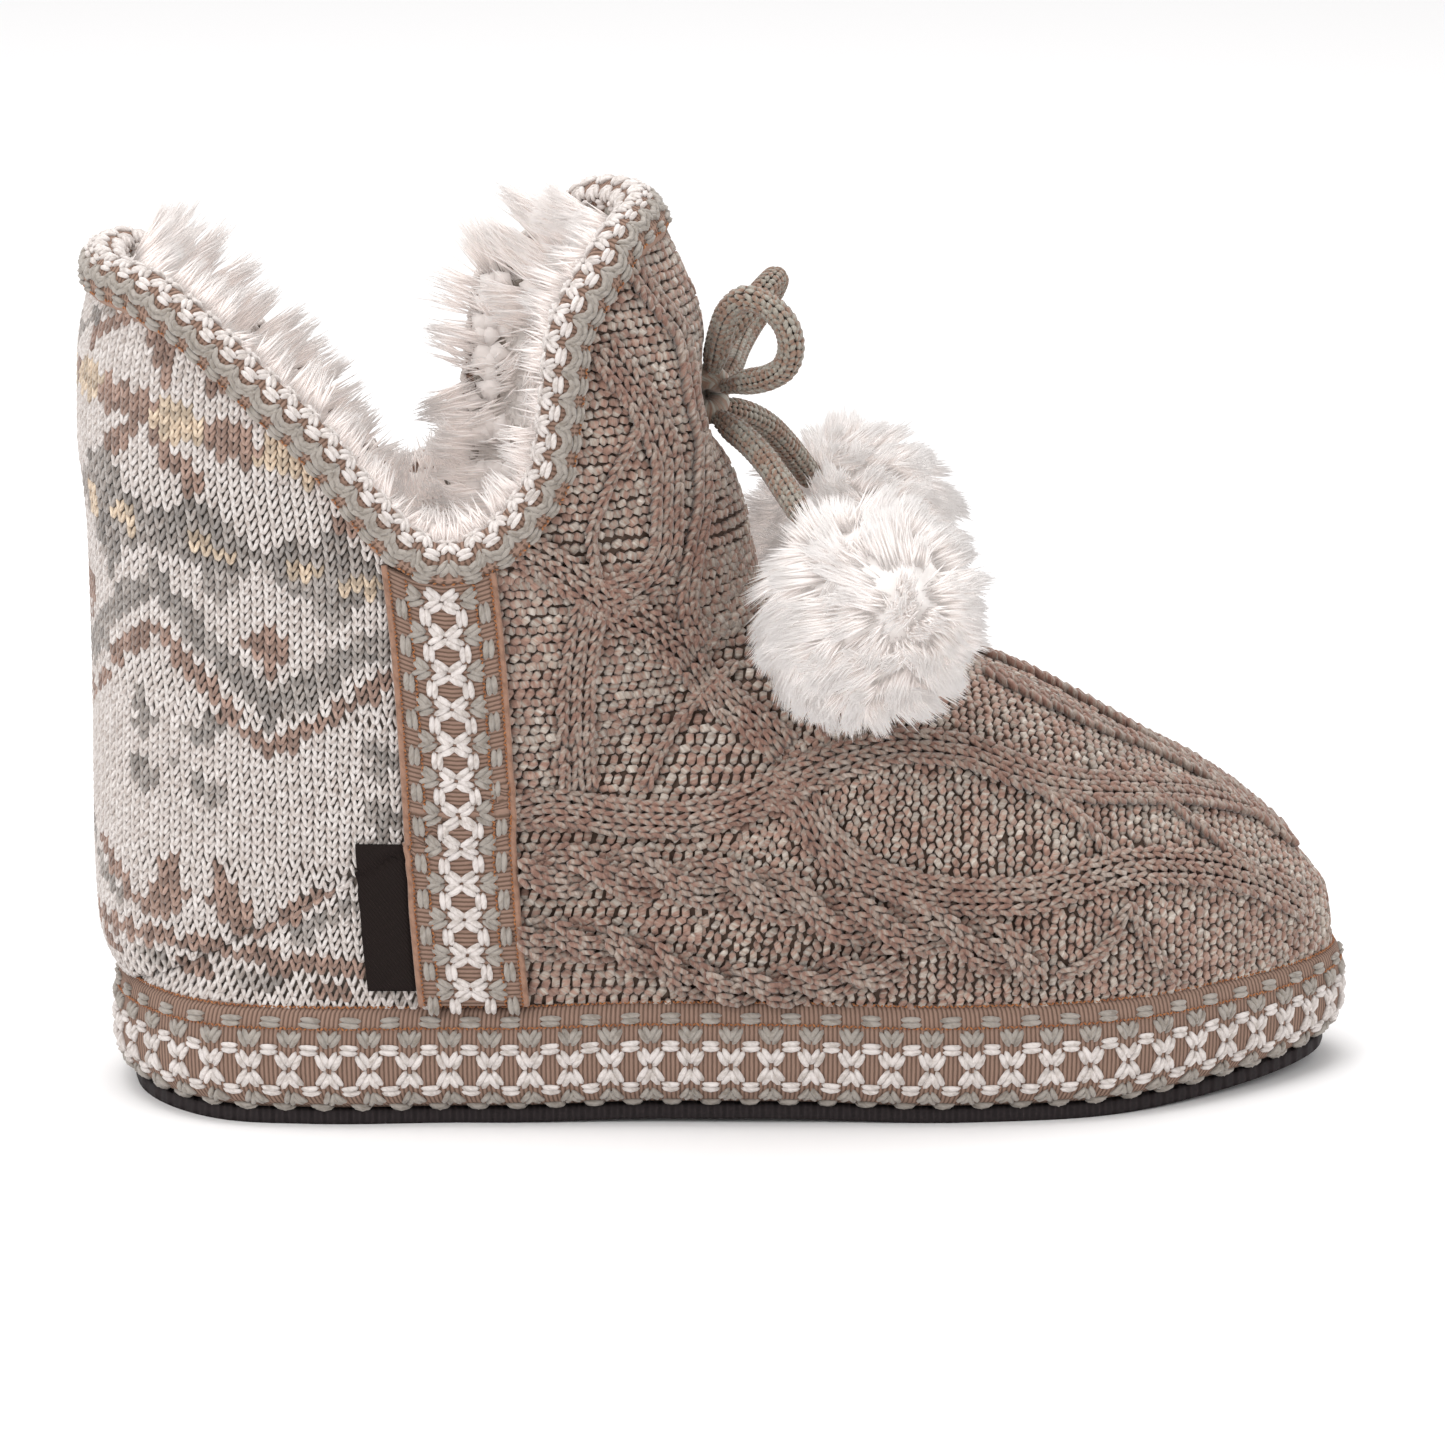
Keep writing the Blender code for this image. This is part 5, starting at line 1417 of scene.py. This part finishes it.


# Tie: a tube knitted of marled yarn, painted darker as a painted shade of its own, drawn round the shaft and
# knotted in front. It makes two loops and two hanging ends, and a ball of trimmed white plush pile is sewn
# on each end.
CORD_DIAMETER = 0.0054
KNOT_PLACE = (.1236, .0005, .1452)
KNOT_SIZE = (0.0074, 0.0090, 0.0110)
KNOT_SQUEEZE = 0.55
KNOT_CORD, KNOT_STEPS = 0.0034, 26
CORD_WALES, CORD_LEAN, CORE_SIDES = 6, 0.42, 10
LOOP_LATERAL = [
    (.1247, -.0025, .1498), (.1256, -.0064, .1556), (.1264, -.0092, .1603), (.1279, -.0120, .1650),
    (.1312, -.0146, .1680), (.1355, -.0161, .1668), (.1390, -.0169, .1632), (.1403, -.0165, .1584),
    (.1391, -.0149, .1537), (.1356, -.0120, .1508), (.1312, -.0078, .1490), (.1277, -.0038, .1472),
]
LOOP_MEDIAL = [
    (.1249, .0038, .1502), (.1272, .0064, .1548), (.1310, .0090, .1590), (.1352, .0130, .1628),
    (.1381, .0180, .1645), (.1390, .0236, .1634), (.1382, .0278, .1600), (.1360, .0288, .1560),
    (.1332, .0256, .1525), (.1308, .0196, .1497), (.1292, .0122, .1480), (.1272, .0045, .1466),
]
END_LATERAL = [
    (.1252, -.0029, .1413), (.1289, -.0072, .1390), (.1322, -.0120, .1370), (.1356, -.0172, .1340),
    (.1386, -.0222, .1302), (.1416, -.0266, .1262), (.1444, -.0298, .1224),
]
END_MEDIAL = [
    (.1256, .0041, .1413), (.1292, .0078, .1396), (.1334, .0116, .1374), (.1374, .0160, .1340),
    (.1408, .0206, .1296), (.1438, .0248, .1250), (.1466, .0280, .1206),
]


def curve_through(points, spacing):
    """A smooth curve through the points, each part a cubic that leaves a point along the line
    between its neighbours, read at equal steps; with its length."""
    p = np.array(points, float)
    ends = np.concatenate([[2 * p[0] - p[1]], p, [2 * p[-1] - p[-2]]])
    t = np.linspace(0, 1, 24, endpoint=False)[:, None]
    dense = np.concatenate([
        0.5 * (2 * b + (c - a) * t + (2 * a - 5 * b + 4 * c - d) * t ** 2 + (3 * b - a - 3 * c + d) * t ** 3)
        for a, b, c, d in zip(ends, ends[1:], ends[2:], ends[3:])
    ] + [p[-1:]])
    run = run_along(dense)
    at = np.linspace(0, run[-1], max(3, round(run[-1] / spacing) + 1))
    return np.column_stack([np.interp(at, run, dense[:, k]) for k in range(3)]), run[-1]


POMPOM_DIAMETER, POMPOM_LOCK = 0.0500, 0.0050
HAIRS, POMPOM_LOCKS, HAIR = 13600, 230, 0.00058
PILE_ROOT, CORE_SHARE, CORE_RINGS = 0.66, 0.70, 26
# Plush fibre: light passes through fine white hairs, so part of it is translucent, and a faint
# glow stands for the light that goes from hair to hair. The bed is the same pile seen deep down: painted
# greyer in a mottle, a painted shade, and with a weaker glow, a painted light.
fur_fibre, tree, shader = new_material(
    "white_plush_pile_fibre", Roughness=0.85, Sheen_Weight=0.4,
    Emission_Color=paint("FBF3EF"), Emission_Strength=0.22)
tint = add(tree, "ShaderNodeAttribute", attribute_name="dye")
fill(tree, shader, {"Base Color": tint.outputs["Color"]})
through_light = add(tree, "ShaderNodeBsdfTranslucent", {"Color": tint.outputs["Color"]})
both = add(tree, "ShaderNodeMixShader", {0: 0.30, 1: shader.outputs[0], 2: through_light.outputs[0]})
fill(tree, tree.nodes["Material Output"], {"Surface": both.outputs[0]})
pile_bed, tree, shader = new_material(
    "plush_pile_bed_painted_shade_glow", Roughness=1.0, Emission_Color=paint("F4EFED"), Emission_Strength=0.12)
# Painted shade: the bed is greyer in a mottle, as the deep pile lies in shade; its glow is painted light.
mottle = noise(tree, object_place(tree), 320.0, 4.0)
fill(tree, shader, {"Base Color": ramped(tree, mottle, "D6D0CC", "F4F1EF")})


def sphere_spots(count):
    """Directions spread evenly over a ball, each a golden angle on from the last."""
    turn = np.arange(count) * math.pi * (3 - math.sqrt(5))
    height = 1 - 2 * (np.arange(count) + 0.5) / count
    flat = np.sqrt(1 - height ** 2)
    return np.column_stack([flat * np.cos(turn), flat * np.sin(turn), height])


def hairs(root, tip, lock_tip, gather, random, seed):
    """Fine hairs as thin closed spindles from root to tip, each drawn by gather towards the tip
    of the lock that it belongs to."""
    end = tip + (lock_tip - tip) * gather + random.normal(0, 0.0005, tip.shape)
    way = end - root
    side_way = np.cross(unit(way), random.normal(size=way.shape))
    length = np.linalg.norm(way, axis=1)
    return spindles((root + end) / 2, way, side_way, length, HAIR, HAIR, rings=1, sides=3, seed=seed)


def flow(way, seed):
    """How the pile leans at these directions: it wanders slowly round the ball and hangs a bit."""
    return 0.30 * np.sin(way[:, [1, 2, 0]] * 2.3 + seed) - [0, 0, 0.25]


def make_pompom(name, route, seed):
    """A ball of plush pile: a soft core, and fine hairs in locks that lean at random, so that the
    locks part a little and their tips stand out all round."""
    last = np.array(route[-1])
    hang = unit(last - np.array(route[-2]))
    centre = last + hang * (POMPOM_DIAMETER / 2 - POMPOM_LOCK + GAP) + SHIFT
    random = np.random.default_rng(seed)
    radius = POMPOM_DIAMETER / 2
    lock_way = sphere_spots(POMPOM_LOCKS)
    lock_reach = radius * random.uniform(0.96, 1.10, POMPOM_LOCKS)
    lock_tip = unit(lock_way + random.normal(0, 0.25, lock_way.shape)) * lock_reach[:, None]
    way = unit(sphere_spots(HAIRS) + random.normal(0, 0.01, (HAIRS, 3)))
    clear_of_cord = 0.45 * CORD_DIAMETER / (radius - POMPOM_LOCK)
    way = way[np.arccos(np.clip(way @ -hang, -1, 1)) > clear_of_cord]
    near = np.argmax(way @ lock_way.T, axis=1)
    root = way * radius * PILE_ROOT
    lock_tip = unit(lock_tip + radius * flow(lock_way, seed)) * lock_reach[:, None]
    tip_way = unit(way + flow(way, seed) + random.normal(0, 0.05, way.shape))
    tip = tip_way * (lock_reach[near] * random.uniform(0.90, 1.0, len(way)))[:, None]
    gather = random.uniform(0.30, 0.85, (len(way), 1))
    legs = hairs(root + centre, tip + centre, lock_tip[near] + centre, gather, random, seed)
    ball = yarn_object(name + "_pile", [dyed(legs, "FAF6F4", 0.95, 1.0, random)], fur_fibre)
    up = np.linspace(-1, 1, CORE_RINGS)
    core_route = centre + np.array([0, 0, 1.0]) * (up * radius * CORE_SHARE)[:, None]
    core_radius = np.maximum(radius * CORE_SHARE * np.sqrt(np.maximum(1 - up ** 2, 0)), 0.0002)
    points, faces, _ = tube(core_route, core_radius, 36)
    core = make_object(name + "_core", points, faces, pile_bed)
    ride_all("pompom", ball, core, stands_for=name)
    return [ball, core]


# Cord yarn: the vamp's marled fibres, painted darker, a painted shade for the way the tight little tube
# shades itself.
CORD_FIBRES = [(0.36, "7E6252"), (0.47, "8F7565"), (0.53, "8B857A"), (0.70, "AAA297")]
cord_yarn = yarn("marled_cord_yarn_painted_darker", CORD_FIBRES)
for name, route, ends in (("tie_loop_lateral", LOOP_LATERAL, 2), ("tie_loop_medial", LOOP_MEDIAL, 2),
                          ("tie_end_lateral", END_LATERAL, 1), ("tie_end_medial", END_MEDIAL, 1)):
    line, length = curve_through(np.array(route) + SHIFT, CORD_DIAMETER * 0.27)
    place = np.arange(len(line))
    from_knot = np.minimum(place, len(line) - 1 - place) if ends == 2 else place
    radius = (KNOT_SQUEEZE + (1 - KNOT_SQUEEZE) * smooth(from_knot / 5)) * CORD_DIAMETER / 2
    core, (centre, way, out, across) = round_yarn(line, radius * 0.80, CORE_SIDES, place * 1.4)
    # The core between the wales is painted dark: painted shade between the stitches.
    parts = [(core, linear("6A5F56")[None])]
    for wale in range(CORD_WALES):
        for hand in (-1, 1):
            turn = (wale + hand * 0.22) / CORD_WALES * 2 * np.pi
            normal = out * math.cos(turn) + across * math.sin(turn)
            lean = hand * CORD_LEAN
            leg_way = way * math.cos(lean) + np.cross(normal, way) * math.sin(lean)
            middle = centre + normal * (radius * 0.86)[:, None]
            legs = spindles(middle, leg_way, normal, 0.0026, radius / CORD_DIAMETER * 0.0034, 0.0013,
                            sag=0.0001, tip=-0.0002, seed=wale * 2 + hand + 1)
            parts.append((legs, linear("FFFFFF")))
    cord = yarn_object(name + "_cord", parts, cord_yarn)
    ride_all("cord", cord, stands_for=name)
    if ends == 1:
        make_pompom(name.replace("tie_end", "pompom"), route, 7 + (name > "tie_end_m"))

# The knot: two turns of the same cord pulled tight over the front of the shaft.
turn = np.linspace(0, 2 * np.pi, KNOT_STEPS)
half = np.array(KNOT_SIZE) / 2
knot_parts = []
for k, tilt in enumerate((0.25, -0.30)):
    route = np.column_stack([
        np.cos(turn) * half[0] * 0.62,
        np.sin(turn) * half[1] * 0.70,
        np.sin(turn) * tilt * 0.006 + (k - 0.5) * 0.0042,
    ])
    route = route + np.array(KNOT_PLACE) + SHIFT
    knot_turn, _ = round_yarn(route, KNOT_CORD * 0.78, CORE_SIDES, np.arange(KNOT_STEPS) * 1.2)
    knot_parts.append((knot_turn, linear("FFFFFF")[None]))
ride_all("cord", yarn_object("tie_knot_turns", knot_parts, cord_yarn), stands_for="tie_knot")


# Fleece lining: curled white pile on a cloth that is sewn in all over the wall's inner face. It
# stands loose over the far rim and is pressed flat farther down, where the foot rubs it.
lining, tree, shader = new_material("white_fleece_ground", Base_Color=paint("E6E1DD"), Roughness=0.95)
curls(tree, shader)
LINING_TOP, LINING_FOOT = 0.0015, 0.045
FLEECE_HAIRS, FLEECE_LOCKS, BED_TUFTS = 22000, 420, 2200
FLEECE_DEPTH = 0.058


def lining_row(z, foot_row):
    """The last's row at a height inside the shoe, from this row at the lining's foot."""
    below = np.interp(z, [LINING_FOOT, ANKLE_HEIGHT], [foot_row, SHAFT_START])
    return np.where(z > ANKLE_HEIGHT, shaft_row(z), below)


share = np.linspace(-1, 1, 121)
grid = []
for up in np.linspace(0, 1, 32):
    z = LINING_FOOT + (collar_height(share) - LINING_TOP - LINING_FOOT) * up
    grid.append(np.column_stack([lining_row(z, FAN_ROW), share]))
grid = np.array(grid)
outer, normal = lay(grid[..., 0].ravel(), grid[..., 1].ravel(), -WALL - 0.0004)
points, faces = sheet(outer, outer - normal * 0.0022, *grid.shape[:2])
ride_all("insole", make_object("lining_ground", points, faces, lining))
random = np.random.default_rng(77)
EDGE_SHARES = np.linspace(-1, 1, 401)[:-1]
EDGE_OVER = collar_frame(EDGE_SHARES)[2]


def edge_way(share):
    """The direction that leads over the collar's edge at each share."""
    return unit(np.column_stack([np.interp(share, EDGE_SHARES, EDGE_OVER[:, k]) for k in range(3)]))


def lining_spot(share, depth):
    """Point and normal of the lining at a depth under the collar's edge, measured down."""
    z = collar_height(share) - 0.0005 - depth
    clear_of_binding = 0.0028 * smooth((0.010 - depth * edge_way(share)[:, 2]) / 0.003)
    return lay(lining_row(z, FAN_ROW + 1.5), share, -WALL - 0.0008 - clear_of_binding)


def depths(count, reach):
    """Random depths under the edge, most of them near it."""
    return reach * random.uniform(0, 1, count) ** 1.5


lock_share = random.uniform(-1, 1, FLEECE_LOCKS)
lock_depth = depths(FLEECE_LOCKS, FLEECE_DEPTH)
lock_root, lock_normal = lining_spot(lock_share, lock_depth)


def standing(share, depth):
    """How far the pile stands up: all along the far rim, less round the dip, not at all below."""
    far = smooth((share - 0.08) / 0.08) * smooth((0.99 - share) / 0.05)
    far = far * (1 - smooth((share - 0.38) / 0.04) * smooth((0.58 - share) / 0.05))
    depth = depth * edge_way(share)[:, 2]
    return (np.clip(1.2 - depth / 0.014, -0.35, 1.0) + 1.3 * far * smooth((0.011 - depth) / 0.006))[:, None]


rise = standing(lock_share, lock_depth)
lock_way = unit(-lock_normal + edge_way(lock_share) * rise + random.normal(0, 0.38, (FLEECE_LOCKS, 3)))
lock_length = random.uniform(0.0095, 0.0145, FLEECE_LOCKS) * (0.9 + 0.2 * np.maximum(rise[:, 0], 0))
lock_tip = lock_root + lock_way * lock_length[:, None]
share = random.uniform(-1, 1, FLEECE_HAIRS)
depth = depths(FLEECE_HAIRS, FLEECE_DEPTH)
root, normal = lining_spot(share, depth)
near = np.empty(FLEECE_HAIRS, int)
for first in range(0, FLEECE_HAIRS, 3000):
    away = root[first:first + 3000, None] - lock_root[None]
    near[first:first + 3000] = np.argmin(np.sum(away ** 2, axis=2), axis=1)
rise = standing(share, depth)
way = unit(-normal + edge_way(share) * rise + random.normal(0, 0.30, root.shape))
length = random.uniform(0.0075, 0.0115, (FLEECE_HAIRS, 1))
tip = root + way * length * (0.9 + 0.2 * np.maximum(rise, 0))
gather = random.uniform(0.30, 0.75, (FLEECE_HAIRS, 1))
legs = hairs(root, tip, lock_tip[near], gather, random, 9)
pile = yarn_object("collar_fleece_pile", [dyed(legs, "FAF4F1", 0.94, 1.0, random)], fur_fibre)
# Low soft bed under the hairs, so that no cloth shows between them. Its greyer colour is a painted shade of
# the deep pile.
root, normal = lining_spot(random.uniform(-1, 1, BED_TUFTS), depths(BED_TUFTS, FLEECE_DEPTH * 1.15))
way = np.cross(normal, random.normal(size=root.shape))
legs = spindles(root - normal * 0.0010, way, -normal, 0.0060, 0.0048, 0.0022, rings=1, sides=5, seed=4)
ride_all("insole", pile, yarn_object("collar_fleece_bed", [(legs, linear("E9E4E1"))], fur_fibre))


# The CAD box and the visual model's box, lowest and highest corner of each, in metres.
corners = [[list(corner) for corner in box] for box in (cad_box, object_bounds())]
